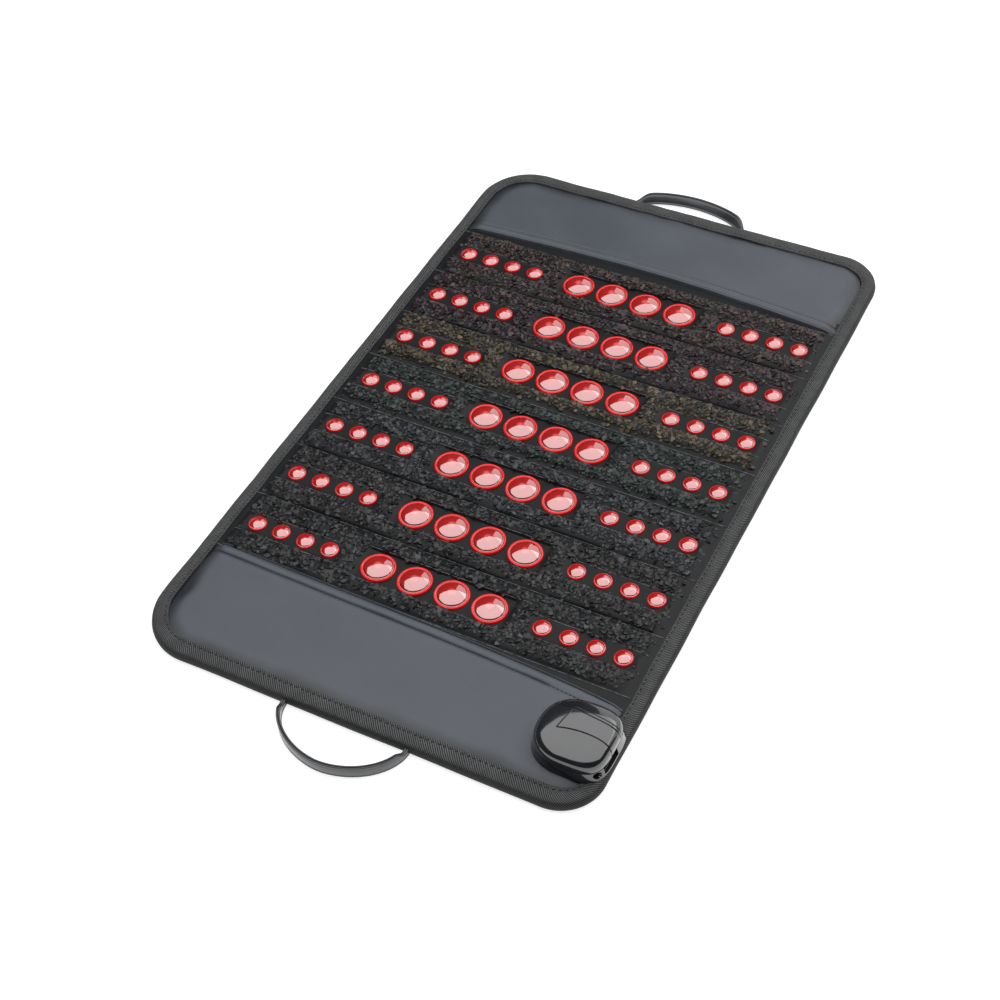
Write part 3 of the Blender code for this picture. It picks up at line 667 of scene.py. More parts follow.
def turned_cap(name, profile, dome, sides, dome_rings):
    """A cap turned about +Z from its profile, with a part of a ball on top."""
    rim_radius, rim_height = profile[-1]
    ball = (rim_radius**2 + dome**2) / (2 * dome)
    line = list(profile)
    for ring in range(1, dome_rings):
        radius = rim_radius * (1 - ring / dome_rings)
        rise = math.sqrt(ball**2 - radius**2) - (ball - dome)
        line.append((radius, rim_height + rise))
    points = []
    for radius, height in line:
        for side in range(sides):
            turn = 2 * math.pi * side / sides
            points.append((radius * math.cos(turn), radius * math.sin(turn), height))
    faces = grid_faces(len(line), sides, closed=True)
    points.append((0, 0, rim_height + dome))
    last = (len(line) - 1) * sides
    faces += [(last + side, last + (side + 1) % sides, len(points) - 1) for side in range(sides)]
    faces.append(tuple(reversed(range(sides))))
    mesh = bpy.data.meshes.new(name)
    mesh.from_pydata(points, [], faces)
    mesh.shade_smooth()
    set_values(mesh, "lens_reach", [math.hypot(point[0], point[1]) / profile[1][0] for point in points])
    return mesh


def lens_finish(name, tones, coat_gloss, glow):
    """Clear red plastic lit from below. The tones go from the middle, over the light, out to the rim."""
    sockets = {"Coat_Weight": 1.0, "Coat_Roughness": 0.04, "Coat_IOR": coat_gloss, "Specular_IOR_Level": 0.2}
    material, tree, shader = new_finish(name, 0.25, **sockets)
    reach = add(tree, "ShaderNodeAttribute", attribute_name="lens_reach").outputs["Fac"]
    tone = colour_ramp(tree, reach, tones)
    place = own_place(tree)
    cloud = stepped(tree, noise(tree, place, 140.0, 2.0), 0.3, 0.8)
    deep = blend_colours(tree, 0.35, tone, (0.6, 0.3, 0.3), "MULTIPLY")
    shade = blend_colours(tree, cloud, tone, deep)
    tree.links.new(shade, shader.inputs["Base Color"])
    tree.links.new(shade, shader.inputs["Emission Color"])
    shader.inputs["Emission Strength"].default_value = glow
    fine = noise(tree, place, 90.0, 1.0)
    relief(tree, shader, fine, 0.10, 0.0006)
    return material


# Painted shade: the dark stop at 0.80 darkens the dome's foot in the groove, where shade falls.
LENS_TONES = (
    (0.00, (0.80, 0.16, 0.16)),
    (0.13, (0.70, 0.09, 0.09)),
    (0.26, (0.42, 0.008, 0.008)),
    (0.74, (0.38, 0.003, 0.003)),
    (0.80, (0.10, 0.002, 0.002)),
    (0.855, (0.40, 0.006, 0.004)),
)
RIM_TONES = (
    (0.84, (0.30, 0.002, 0.002)),
    (0.87, (0.62, 0.006, 0.004)),
    (0.95, (0.70, 0.007, 0.005)),
    (1.0, (0.50, 0.005, 0.004)),
)
RIM_START = 0.86

inputs = {"Cap": "Object", "Askew": "Float", "Seed": "Int", "Rim finish": "Material", "Finish": "Material"}
lens_tree, source, target = new_tree("lens_group", inputs)
cap = add(lens_tree, "GeometryNodeObjectInfo", {"Object": source.outputs["Cap"]})
askew = source.outputs["Askew"]
back = math_node(lens_tree, "MULTIPLY", askew, -1.0)
least = add(lens_tree, "ShaderNodeCombineXYZ", {0: back, 1: back, 2: -3.0})
most = add(lens_tree, "ShaderNodeCombineXYZ", {0: askew, 1: askew, 2: 3.0})
tilt = random_vector(lens_tree, least.outputs[0], most.outputs[0], source.outputs["Seed"])
spots = add(lens_tree, "GeometryNodeMeshToPoints", {"Mesh": source.outputs[0]})
inputs = {"Points": spots.outputs[0], "Instance": cap.outputs["Geometry"], "Rotation": tilt}
stood = add(lens_tree, "GeometryNodeInstanceOnPoints", inputs)
solid = add(lens_tree, "GeometryNodeRealizeInstances", {0: stood.outputs[0]})
inputs = {"Geometry": solid.outputs[0], "Material": source.outputs["Finish"]}
coated = add(lens_tree, "GeometryNodeSetMaterial", inputs)
reach = add(lens_tree, "GeometryNodeInputNamedAttribute", {"Name": "lens_reach"}, data_type="FLOAT")
inputs = {0: reach.outputs[0], 1: RIM_START}
outer = add(lens_tree, "FunctionNodeCompare", inputs, data_type="FLOAT", operation="GREATER_THAN")
inputs = {"Geometry": coated.outputs[0], "Selection": outer.outputs[0]}
inputs["Material"] = source.outputs["Rim finish"]
rimmed = add(lens_tree, "GeometryNodeSetMaterial", inputs)
lens_tree.links.new(rimmed.outputs[0], target.inputs[0])

lens_caps = {
    "large": turned_cap("large_cap", LARGE_PROFILE, LENS_DOMES["large"], 56, 14),
    "small": turned_cap("small_cap", SMALL_PROFILE, LENS_DOMES["small"], 40, 9),
}
lens_finishes = {
    "large": lens_finish("large_lens", LENS_TONES, 3.0, 0.40),
    "small": lens_finish("small_lens", LENS_TONES, 3.0, 0.46),
}
rim_finish = lens_finish("lens_rim", RIM_TONES, 1.45, 0.45)
for size, mesh in lens_caps.items():
    holder = bpy.data.objects.new(f"{size}_cap", mesh)
    for row in range(1, 8):
        places = [("centre", LARGE_ISLAND[0])]
        if size == "small":
            places = [("left", SMALL_ISLANDS[0][0]), ("right", SMALL_ISLANDS[1][0])]
        for place, centre in places:
            base = bpy.data.meshes.new("lens_spots")
            xs = [centre + (count - 1.5) * LENS_PITCHES[size] for count in range(4)]
            base.from_pydata([(x, (4 - row) * ROW_PITCH, LENS_FOOT_Z) for x in xs], [], [])
            values = {"Cap": holder, "Askew": 0.035, "Seed": 10 * row + len(place)}
            values.update({"Rim finish": rim_finish, "Finish": lens_finishes[size]})
            group = grow(f"lenses_{row}_{place}", base, lens_tree, values)
            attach(group, body_of_row(row))
            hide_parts(f"lens_strip_{row}_{place}")
    bpy.data.objects.remove(holder)


# ---------------------------------------------------------------------------------------------
# End panels. Soft coated leather over thin padding closes each end of the mat. Its edge towards
# the stones is folded to a hem and sewn down with two rows of stitches, and its other edges go
# under the tape.

PANEL_TOP_Z = 0.0131
PANEL_EDGE_Z = 0.0092
PANEL_INSET = 0.0115
PANEL_UNDER_Z = 0.0085
BOX_PLACE = tuple((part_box("connector_base")[0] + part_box("connector_base")[1]) / 2)
HEM_ROWS = (0.0022, 0.0118)
HEM_HEIGHTS = (
    (-0.0010, -0.0030),
    (-0.0005, -0.0008),
    (0.0000, 0.0004),
    (0.0006, 0.0013),
    (0.0013, 0.0014),
    (0.0018, 0.0006),
    (0.0022, 0.0001),
    (0.0027, 0.0005),
    (0.0036, 0.0014),
    (0.0055, 0.0019),
    (0.0080, 0.0018),
    (0.0100, 0.0012),
    (0.0112, 0.0003),
    (0.0118, -0.0004),
    (0.0125, 0.0002),
    (0.0150, 0.0004),
)


def hem_y(end, x):
    """Where the panel's hem runs. The near one drops to the right and the far one bows outwards."""
    if end < 0:
        return -0.2680 - 0.0215 * x - 0.0075 * np.clip(x / 0.226, 0, 1) ** 3
    return 0.2820 - 0.2315 * (x + 0.020) ** 2


def edge_depth(end, x, y):
    """How far a place is inside the mat's edge. It takes arrays."""
    radius = np.where(x > 0, CORNER_RADII[1, end], CORNER_RADII[-1, end])
    across = np.abs(x) - HALF_WIDTH + radius
    along = np.abs(y) - HALF_LENGTH + radius
    outside = np.hypot(np.maximum(across, 0), np.maximum(along, 0))
    return radius - outside - np.minimum(np.maximum(across, along), 0)


def panel_height(end, x, y, from_hem):
    depth = edge_depth(end, x, y)
    crown = soft(depth, 0.0100, 0.0300)
    pucker = np.exp(-(((depth - 0.0210) / 0.0070) ** 2)) * ripple(x / 0.011, y / 0.011, 3)
    wave = 0.0004 * ripple(x / 0.050, y / 0.030, 8)
    steps, rises = zip(*HEM_HEIGHTS)
    hem = np.interp(from_hem, steps, rises)
    hem = hem * (1 + 0.25 * ripple(x / 0.020, y * 0, 5)) * (from_hem < 0.016)
    level = PANEL_EDGE_Z + (PANEL_TOP_Z - PANEL_EDGE_Z) * crown
    if end < 0:
        beside = np.maximum(np.abs(x - BOX_PLACE[0]), np.abs(y - BOX_PLACE[1]))
        calm = soft(beside, 0.040, 0.055)
        return level + (0.0006 * pucker + (wave + hem) * crown) * calm
    return level + 0.0006 * pucker + (wave + hem) * crown


def far_y(end, x):
    """How far out the panel's outer edge is at this x."""
    reach = []
    for value in x:
        radius = CORNER_RADII[1 if value > 0 else -1, end]
        past = abs(value) - (HALF_WIDTH - radius)
        inner = radius - PANEL_INSET
        drop = math.sqrt(max(inner * inner - past * past, 0.0)) if past > 0 else inner
        reach.append(HALF_LENGTH - radius + drop)
    return np.array(reach)


def leather(name, dark, light, roughness, grain_size, grain_depth):
    """Coated leather: a fine grain, faint clouds of colour, painted shade by the tape and at the hem, and a
    satin gloss.
    """
    material, tree, shader = new_finish(name, roughness, Coat_Weight=0.08, Coat_Roughness=0.35)
    # Painted shade: this attribute mixes in a dark shadow tone where shade falls, by the tape and at the hem.
    crease = add(tree, "ShaderNodeAttribute", attribute_name="crease").outputs["Fac"]
    place = own_place(tree)
    inputs = {"Vector": place, "Scale": 1 / grain_size}
    grain = add(tree, "ShaderNodeTexVoronoi", inputs, feature="DISTANCE_TO_EDGE").outputs["Distance"]
    pores = stepped(tree, grain, 0.0, 0.25)
    cloud = noise(tree, place, 14.0, 3.0)
    clouds = stepped(tree, cloud, 0.25, 0.75, 0.35, 1.0)
    share = math_node(tree, "MULTIPLY", clouds, stepped(tree, pores, 0, 1, 0.8, 1))
    shadow = tuple(0.22 * part for part in dark)
    paint(tree, shader, crease, blend_colours(tree, share, dark, light), shadow)
    gloss = stepped(tree, cloud, 0.3, 0.7, roughness - 0.05, roughness + 0.05)
    tree.links.new(gloss, shader.inputs["Roughness"])
    relief(tree, shader, pores, 0.25, grain_depth)
    return material


stitch_tree, source, target = new_tree(
    "stitches", {"Pitch": "Float", "Length": "Float", "Width": "Float", "Finish": "Material"}
)
spine = add(stitch_tree, "GeometryNodeMeshToCurve", {"Mesh": source.outputs[0]})
inputs = {"Curve": spine.outputs[0], "Length": source.outputs["Pitch"]}
marks = add(stitch_tree, "GeometryNodeCurveToPoints", inputs, mode="LENGTH")
inputs = {"Vector": marks.outputs["Tangent"]}
along = add(stitch_tree, "FunctionNodeAlignRotationToVector", inputs, axis="X", pivot_axis="Z")
thread = add(stitch_tree, "GeometryNodeMeshUVSphere", {"Segments": 8, "Rings": 4, "Radius": 0.5})
width = source.outputs["Width"]
sizes = add(stitch_tree, "ShaderNodeCombineXYZ", {0: source.outputs["Length"], 1: width, 2: width})
inputs = {
    "Points": marks.outputs[0],
    "Instance": thread.outputs[0],
    "Rotation": along.outputs[0],
    "Scale": sizes.outputs[0],
}
sewn = add(stitch_tree, "GeometryNodeInstanceOnPoints", inputs)
finish_tree(stitch_tree, sewn.outputs[0], source, target)

thread_finish, tree, shader = new_finish("sewing_thread", 0.6, Sheen_Weight=0.3)
place = own_place(tree)
inputs = {"Vector": place, "Scale": 900.0}
twist = add(tree, "ShaderNodeTexWave", inputs, bands_direction="DIAGONAL").outputs["Fac"]
paint(tree, shader, twist, (0.003, 0.003, 0.004), (0.012, 0.012, 0.014))
relief(tree, shader, twist, 0.4, 0.0001)


def sew(name, lines, pitch, length, width):
    """Rows of stitches along these lines, as one plain mesh."""
    values = {"Pitch": pitch, "Length": length, "Width": width, "Finish": thread_finish}
    stitches = grow(name, lines_mesh(name, lines), stitch_tree, values)
    stitches.data.shade_smooth()
    return stitches


panel_finish = leather("panel_leather", (0.058, 0.066, 0.082), (0.084, 0.094, 0.114), 0.40, 0.0011, 0.0002)
for end, (section, _, word) in ENDS.items():
    share = np.linspace(-1, 1, 131)
    limit = HALF_WIDTH - PANEL_INSET
    xs = limit * (0.55 * share + 0.45 * np.sin(share * math.pi / 2))
    hem = hem_y(end, xs)
    reach = end * far_y(end, xs) - hem
    steps = [np.full_like(xs, end * step) for step, _ in HEM_HEIGHTS]
    last = HEM_HEIGHTS[-1][0]
    for part in np.linspace(0, 1, 30)[1:]:
        steps.append(end * last + (reach - end * last) * part)
    from_hem = np.array(steps)
    x = np.tile(xs, (len(steps), 1))
    y = hem + from_hem
    z = panel_height(end, x, y, from_hem * end)
    points = [tuple(point) for point in np.stack((x, y, z), axis=-1).reshape(-1, 3)]
    rows, columns = x.shape
    extra, skirt = close_under(points, rows, columns, PANEL_UNDER_Z)
    faces = grid_faces(rows, columns) + skirt
    if end < 0:
        faces = [face[::-1] for face in faces]
    panel = make_piece(f"{word}_panel_leather", points + extra, faces, panel_finish)
    panel.data.set_sharp_from_angle(angle=math.radians(60))
    # Painted shade: the leather is darker by the tape, at the hem's fold and along both stitch rows, where
    # shade falls.
    reach = edge_depth(end, x, y) + 0.0050 * ripple(x / 0.016, y / 0.016, 12)
    crease = 0.9 * (1 - soft(reach, 0.0140, 0.0330)) + 0.6 * (1 - soft(np.abs(from_hem), 0.0, 0.0006))
    crease = np.clip(crease + 0.5 * np.exp(-((np.abs(from_hem) - HEM_ROWS[1]) / 0.0008) ** 2), 0, 1)
    crease = np.clip(crease + 0.5 * np.exp(-((np.abs(from_hem) - HEM_ROWS[0]) / 0.0006) ** 2), 0, 1)
    set_values(panel.data, "crease", np.append(crease.reshape(-1), np.zeros(len(extra))))
    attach(panel, section)
    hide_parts(f"{word}_end_panel")
    lines = []
    run = np.linspace(-HALF_WIDTH + 0.020, HALF_WIDTH - 0.020, 90)
    for offset in HEM_ROWS:
        line_y = hem_y(end, run) + end * offset
        line_z = panel_height(end, run, line_y, np.full_like(run, offset)) + 0.0001
        lines.append(np.stack((run, line_y, line_z), axis=-1))
    stitches = sew(f"{word}_hem_stitches", lines, 0.0044, 0.0031, 0.0013)
    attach(stitches, section)


# ---------------------------------------------------------------------------------------------
# Binding tape. A woven tape is rolled round the mat's edge and sewn through near its inner side.
# It is one run round the whole mat, made as a near and a far half that meet in the middle.

TAPE_PROFILE = (
    (0.0150, 0.0009),
    (0.0040, 0.0004),
    (0.0014, 0.0009),
    (0.0000, 0.0028),
    (-0.0004, 0.0060),
    (0.0003, 0.0090),
    (0.0014, 0.0110),
    (0.0030, 0.0122),
    (0.0052, 0.0128),
    (0.0085, 0.0130),
    (0.0112, 0.0128),
    (0.0122, 0.0123),
    (0.0128, 0.0121),
    (0.0134, 0.0124),
    (0.0142, 0.0127),
    (0.0150, 0.0126),
    (0.0156, 0.0119),
    (0.0156, 0.0108),
    (0.0152, 0.0100),
)
TAPE_STITCH_INSET = 0.0128
TAPE_END_EXTRA = 0.0030
TAPE_STEP = 0.0030


def edge_run(end, step):
    """Places round one half of the mat's edge: x, y, the way out, and the distance so far."""
    path = []
    straight = HALF_LENGTH - CORNER_RADII[-1, end]
    for y in np.linspace(0, straight, round(straight / step), endpoint=False):
        path.append((-HALF_WIDTH, end * y, -1.0, 0.0))
    for side in (-1, 1):
        radius = CORNER_RADII[side, end]
        count = round(radius * math.pi / 2 / step)
        for index in range(count + 1):
            turn = math.pi / 2 * (index if side < 0 else count - index) / count
            out_x, out_y = side * math.cos(turn), end * math.sin(turn)
            x = side * (HALF_WIDTH - radius) + radius * out_x
            path.append((x, end * (HALF_LENGTH - radius) + radius * out_y, out_x, out_y))
        if side < 0:
            low, high = -HALF_WIDTH + radius, HALF_WIDTH - CORNER_RADII[1, end]
            for x in np.linspace(low, high, round((high - low) / step) + 1)[1:-1]:
                path.append((x, end * HALF_LENGTH, 0.0, float(end)))
    straight = HALF_LENGTH - CORNER_RADII[1, end]
    for y in np.linspace(straight, 0, round(straight / step) + 1)[1:]:
        path.append((HALF_WIDTH, end * y, 1.0, 0.0))
    path = np.array(path)
    gaps = np.hypot(*(path[1:, :2] - path[:-1, :2]).T)
    return path, np.append(0, np.cumsum(gaps))


def tube_faces(rings, sides, flip=False):
    """Faces that join closed rings one after another, with the first and the last ring filled."""
    faces = grid_faces(rings, sides, closed=True)
    last = (rings - 1) * sides
    faces += [tuple(reversed(range(sides))), tuple(last + side for side in range(sides))]
    return [face[::-1] for face in faces] if flip else faces


def tape_place(path, run, inset, height):
    """Points along the edge at this inset and height on the tape, with its widening and its waves."""
    ended = np.abs(path[:, 3]) ** 2
    inner = min(max((inset - 0.0052) / 0.0104, 0.0), 1.0)
    outer = 1 - min(max(inset / 0.0052, 0.0), 1.0)
    calm = soft(np.abs(path[:, 1]), 0.0, 0.020)
    inner_wave = 0.00045 * ripple(run / 0.013, run * 0, 4) * inner
    wave = inner_wave - 0.0004 * ripple(run / 0.024, run * 0, 6) * outer
    shift = inset + TAPE_END_EXTRA * ended * inner + wave * calm
    rise = height + 0.00035 * ripple(run / 0.009, run * 0, 9) * calm * (height > 0.0095)
    x = path[:, 0] - shift * path[:, 2]
    y = path[:, 1] - shift * path[:, 3]
    return np.stack((x, y, np.broadcast_to(rise, x.shape)), axis=-1)


tape_finish, tree, shader = new_finish("binding_tape", 0.68, Specular_IOR_Level=0.3)
weave_place = add(tree, "ShaderNodeUVMap", uv_map="tape").outputs[0]
side_share = add(tree, "ShaderNodeAttribute", attribute_name="tape_side").outputs["Fac"]
inputs = {"Vector": weave_place, "Scale": 255.0, "Distortion": 0.5, "Detail": 1.0}
rib = add(tree, "ShaderNodeTexWave", inputs, bands_direction="DIAGONAL")
twill = stepped(tree, rib.outputs["Fac"], 0.25, 0.75)
crossed = add(tree, "ShaderNodeMapping", {"Vector": weave_place, "Rotation": (0, 0, math.pi / 2)}).outputs[0]
inputs = {"Vector": crossed, "Scale": 420.0, "Distortion": 0.8, "Detail": 1.0}
yarn = add(tree, "ShaderNodeTexWave", inputs, bands_direction="DIAGONAL")
hatch = math_node(tree, "MULTIPLY", twill, stepped(tree, yarn.outputs["Fac"], 0.15, 0.75, 0.15, 1.0))
wear = noise(tree, weave_place, 70.0, 4.0)
top_share = math_node(tree, "MULTIPLY", hatch, stepped(tree, wear, 0.3, 0.7, 0.75, 1.0))
# Painted shade: the tape's side gets less than a third of the top's light share, so it reads as a face in
# shade.
side_painted_shade = math_node(tree, "MULTIPLY", top_share, 0.30)
share = add(tree, "ShaderNodeMix", {0: side_share}, data_type="FLOAT")
tree.links.new(top_share, share.inputs[2])
tree.links.new(side_painted_shade, share.inputs[3])
paint(tree, shader, share.outputs[0], (0.0100, 0.0105, 0.0115), (0.215, 0.218, 0.222))
relief(tree, shader, hatch, 0.55, 0.0003)

for end, (_, _, word) in ENDS.items():
    path, run = edge_run(end, TAPE_STEP)
    rings = np.array([tape_place(path, run, inset, height) for inset, height in TAPE_PROFILE])
    count, stations = rings.shape[:2]
    points = rings.transpose(1, 0, 2).reshape(-1, 3)
    tape = make_piece(f"{word}_tape", points, tube_faces(stations, count, flip=end < 0), tape_finish)
    tape.data.set_sharp_from_angle(angle=math.radians(70))
    across = np.append(0, np.cumsum(np.hypot(*np.diff(np.array(TAPE_PROFILE), axis=0).T)))
    cloth_map = tape.data.uv_layers.new(name="tape")
    for face in tape.data.polygons:
        spots = [tape.data.loops[loop].vertex_index for loop in face.loop_indices]
        wrap = {0, count - 1} <= {spot % count for spot in spots}
        for loop, spot in zip(face.loop_indices, spots):
            v = across[-1] + 0.009 if wrap and spot % count == 0 else across[spot % count]
            cloth_map.data[loop].uv = (run[spot // count], v)
    insets = np.tile([inset for inset, _ in TAPE_PROFILE], stations)
    set_values(tape.data, "tape_side", 1 - soft(insets, 0.0008, 0.0034))
    bend_over_fold(tape, end)
    nodes = [f"{word}_binding"]
    if end < 0:
        nodes += ["mid_binding_left", "mid_binding_right"]
    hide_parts(*nodes)
    line = tape_place(path, run, TAPE_STITCH_INSET, 0.0123)
    seam = sew(f"{word}_tape_stitches", [line], 0.0060, 0.0034, 0.0017)
    bend_over_fold(seam, end)


# ---------------------------------------------------------------------------------------------
# Handles. Each is a soft strap on edge, with a welt of two fine rolls along its top and bottom. It
# narrows to where it is sewn under the tape, and the far one leans outwards.

STRAP_HALF_WIDTH = (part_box("front_handle")[1].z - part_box("front_handle")[0].z) / 2
STRAP_FLOOR_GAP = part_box("front_handle")[0].z
STRAP_THICKNESS = 0.0030
STRAP_AXIS = (abs(FOLD["rear_handle_lift"].y), FOLD["rear_handle_lift"].z)
STRAP_NARROW_RUN = 0.0040
STRAP_TAPER_RUN = 0.0100
STRAP_TAIL_RUN = 0.0030
LOOP_HALF_SPAN = 0.0655
LOOP_FULLNESS = 1.85
LOOPS = {-1: ("front", 0.0489, 0.0), 1: ("rear", 0.0250, math.radians(40))}
STRAP_PROFILE = (
    (0.0054, 0.0000),
    (0.0058, 0.0003),
    (0.0068, 0.0006),
    (0.0070, 0.0011),
    (0.0068, 0.0016),
    (0.0062, 0.0020),
    (0.0055, 0.0020),
    (0.0049, 0.0015),
    (0.0043, 0.0015),
    (0.0036, 0.0018),
    (0.0018, 0.0019),
)


def strap_outline():
    """The strap cut across, as one closed run of places along its width and its thickness."""
    first = list(STRAP_PROFILE)
    second = [(-width, rise) for width, rise in reversed(first)]
    third = [(-width, -rise) for width, rise in first[1:]]
    return first + second + third + [(width, -rise) for width, rise in reversed(first[1:])]


def loop_path(reach):
    """The middle of the strap from one tail to the other, measured out from the hinge line."""
    curve = []
    steps = 84
    for step in range(steps + 1):
        turn = math.pi * step / steps
        across = abs(math.cos(turn)) ** (2 / LOOP_FULLNESS)
        out = abs(math.sin(turn)) ** (2 / LOOP_FULLNESS)
        side = -1 if step * 2 < steps else 1
        curve.append((side * LOOP_HALF_SPAN * across, reach * out))
    tails = np.linspace(-STRAP_TAIL_RUN, 0, 4)[:-1]
    curve = [(-LOOP_HALF_SPAN, y) for y in tails] + curve
    return curve + [(LOOP_HALF_SPAN, y) for y in tails[::-1]]


def moulded(name, dark, light, roughness, **sockets):
    """Moulded plastic: an even colour that varies a little, with a fine texture and lighter edges, partly
    wear and partly a painted highlight.
    """
    material, tree, shader = new_finish(name, roughness, **sockets)
    place = own_place(tree)
    cloud = noise(tree, place, 40.0, 3.0)
    grain = noise(tree, place, 1500.0, 3.0)
    edges = add(tree, "ShaderNodeNewGeometry").outputs["Pointiness"]
    # Lighter colour on sharp edges: partly wear, partly a painted highlight on the rims.
    wear_and_highlight = stepped(tree, edges, 0.52, 0.62, 0.0, 0.5)
    share = math_node(tree, "ADD", stepped(tree, cloud, 0.3, 0.7, 0.0, 0.5), wear_and_highlight)
    paint(tree, shader, share, dark, light)
    gloss = stepped(tree, cloud, 0.25, 0.75, roughness * 0.85, roughness * 1.15)
    tree.links.new(gloss, shader.inputs["Roughness"])
    relief(tree, shader, grain, 0.2, 0.00008)
    return material


strap_sockets = {"Coat_Weight": 0.7, "Coat_Roughness": 0.14}
strap_finish = moulded("strap", (0.030, 0.032, 0.037), (0.080, 0.084, 0.092), 0.36, **strap_sockets)
for end, (word, reach, lean) in LOOPS.items():
    curve = loop_path(reach)
    outline = strap_outline()
    end_rise = (STRAP_AXIS[1] - STRAP_FLOOR_GAP) / 2
    end_width = (end_rise - STRAP_THICKNESS / 2 * math.sin(lean)) / math.cos(lean)
    rings = []
    inner_line = []
    for index, (x, y) in enumerate(curve):
        before, after = curve[max(index - 1, 0)], curve[min(index + 1, len(curve) - 1)]
        heading = Vector((after[0] - before[0], after[1] - before[1], 0)).normalized()
        if y <= 0:
            heading = Vector((0, 1 if x < 0 else -1, 0))
        out = Vector((-heading.y, heading.x, 0))
        across = math.sin(lean) * out + math.cos(lean) * Vector((0, 0, 1))
        through = -math.cos(lean) * out + math.sin(lean) * Vector((0, 0, 1))
        share = float(soft(y, STRAP_NARROW_RUN, STRAP_NARROW_RUN + STRAP_TAPER_RUN))
        half_width = end_width + (STRAP_HALF_WIDTH - end_width) * share
        half_rise = half_width * math.cos(lean) + STRAP_THICKNESS / 2 * math.sin(lean)
        centre = Vector((x, STRAP_AXIS[0] + y, STRAP_FLOOR_GAP + half_rise)) + 0.0002 * through
        squeeze = half_width / STRAP_PROFILE[3][0]
        ring = []
        for width, rise in outline:
            spot = centre + squeeze * width * across + rise * through
            ring.append((spot.x, end * spot.y, spot.z))
        rings.append(ring)
        if 8 < index < len(curve) - 9:
            spot = centre + 0.0047 * squeeze * across + 0.0015 * through
            inner_line.append((spot.x, end * spot.y, spot.z))
    points = [spot for ring in rings for spot in ring]
    faces = tube_faces(len(rings), len(outline), flip=end > 0)
    strap = make_piece(f"{word}_strap", points, faces, strap_finish)
    strap.data.set_sharp_from_angle(angle=math.radians(50))
    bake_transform(strap)
    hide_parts(f"{word}_handle")
    if end > 0:
        seam = sew("rear_strap_stitches", [inner_line], 0.0034, 0.0022, 0.0005)
        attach(seam, "rear_handle")


# ---------------------------------------------------------------------------------------------
# Connector box. Two moulded shells of glossy black plastic, a tray and a domed lid, are clipped
# together over the board and the socket. A strip of the lid is a separate part with fine seams.

BOX_LOW, BOX_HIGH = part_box("connector_base")
LID_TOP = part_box("connector_lid")[1].z
BOX_CENTRE = (BOX_LOW + BOX_HIGH) / 2
BOX_HALF = (BOX_HIGH - BOX_LOW) / 2
BOX_FULLNESS = {-1: 2.3, 1: 3.4}
BOX_DRAFT = 0.0022
BOX_WALL = 0.0022
BOX_FLOOR = 0.0020
LID_GAP = 0.0003
LID_RISE = LID_TOP - BOX_HIGH.z - LID_GAP
SEAM_FAR_Y = 0.0205
SEAM_FAR_SLOPE = 0.107
SEAM_NEAR_Y = -0.0070
SEAM_BOW = 0.0045
SEAM_LEFT_X = -0.0160
SEAM_SLANT = 0.0045
SECOND_GROOVE = 0.0031
NOTCH_Y = -0.0275
NOTCH_RADIUS = 0.0036
LEAD_DEPTH = 0.0020


def box_ring(inset, height, scale=1.0, steps=112):
    """The box's outline in plan, this far inside its widest line, as points at one height."""
    ring = []
    for step in range(steps):
        turn = 2 * math.pi * step / steps
        cosine, sine = math.cos(turn), math.sin(turn)
        power = 2 / BOX_FULLNESS[1 if cosine > 0 else -1]
        x = math.copysign(abs(cosine) ** power, cosine) * (BOX_HALF.x - inset) * scale
        y = math.copysign(abs(sine) ** power, sine) * (BOX_HALF.y - inset) * scale
        ring.append((BOX_CENTRE.x + x, BOX_CENTRE.y + y, height))
    return ring


def dome_rise(share, rise, x, y):
    """How high the lid is at this share of the way out. It is steep near and right, gentle elsewhere."""
    length = math.hypot(x, y) or 1.0
    toward = (x - y) / (length * math.sqrt(2))
    return rise * max(1 - share ** (5.0 + 2.8 * toward), 0.0) ** (1 / 2.6)


def lid_point(x, y):
    """The lid's outer face over a place measured from the box's centre."""
    power = BOX_FULLNESS[1 if x > 0 else -1]
    wide, deep = BOX_HALF.x - BOX_DRAFT, BOX_HALF.y - BOX_DRAFT
    share = (abs(x / wide) ** power + abs(y / deep) ** power) ** (1 / power)
    base = BOX_HIGH.z + LID_GAP
    return Vector((BOX_CENTRE.x + x, BOX_CENTRE.y + y, base + dome_rise(min(share, 1.0), LID_RISE, x, y)))


def dome_ring(inset, base, share, rise):
    """One ring of the dome's face, at this share of the way from its middle to its rim."""
    ring = []
    for x, y, _ in box_ring(inset, 0.0, share):
        ring.append((x, y, base + dome_rise(share, rise, x - BOX_CENTRE.x, y - BOX_CENTRE.y)))
    return ring


def closed_rings(name, rings, finish):
    """A closed piece from rings that go round it, with its first and last ring filled."""
    points = [point for ring in rings for point in ring]
    return make_piece(name, points, tube_faces(len(rings), len(rings[0])), finish)


def cut(piece, cutters, operation="DIFFERENCE"):
    """Applies Boolean cuts with these cutters, and clears the cutters away."""
    for cutter in cutters:
        modifier = piece.modifiers.new("cut", "BOOLEAN")
        modifier.operation = operation
        modifier.object = cutter
        modifier.solver = "EXACT"
    bpy.context.view_layer.update()
    mesh = bpy.data.meshes.new_from_object(piece.evaluated_get(bpy.context.evaluated_depsgraph_get()))
    piece.modifiers.clear()
    mesh.name = piece.name
    piece.data = mesh
    for cutter in cutters:
        bpy.data.objects.remove(cutter)


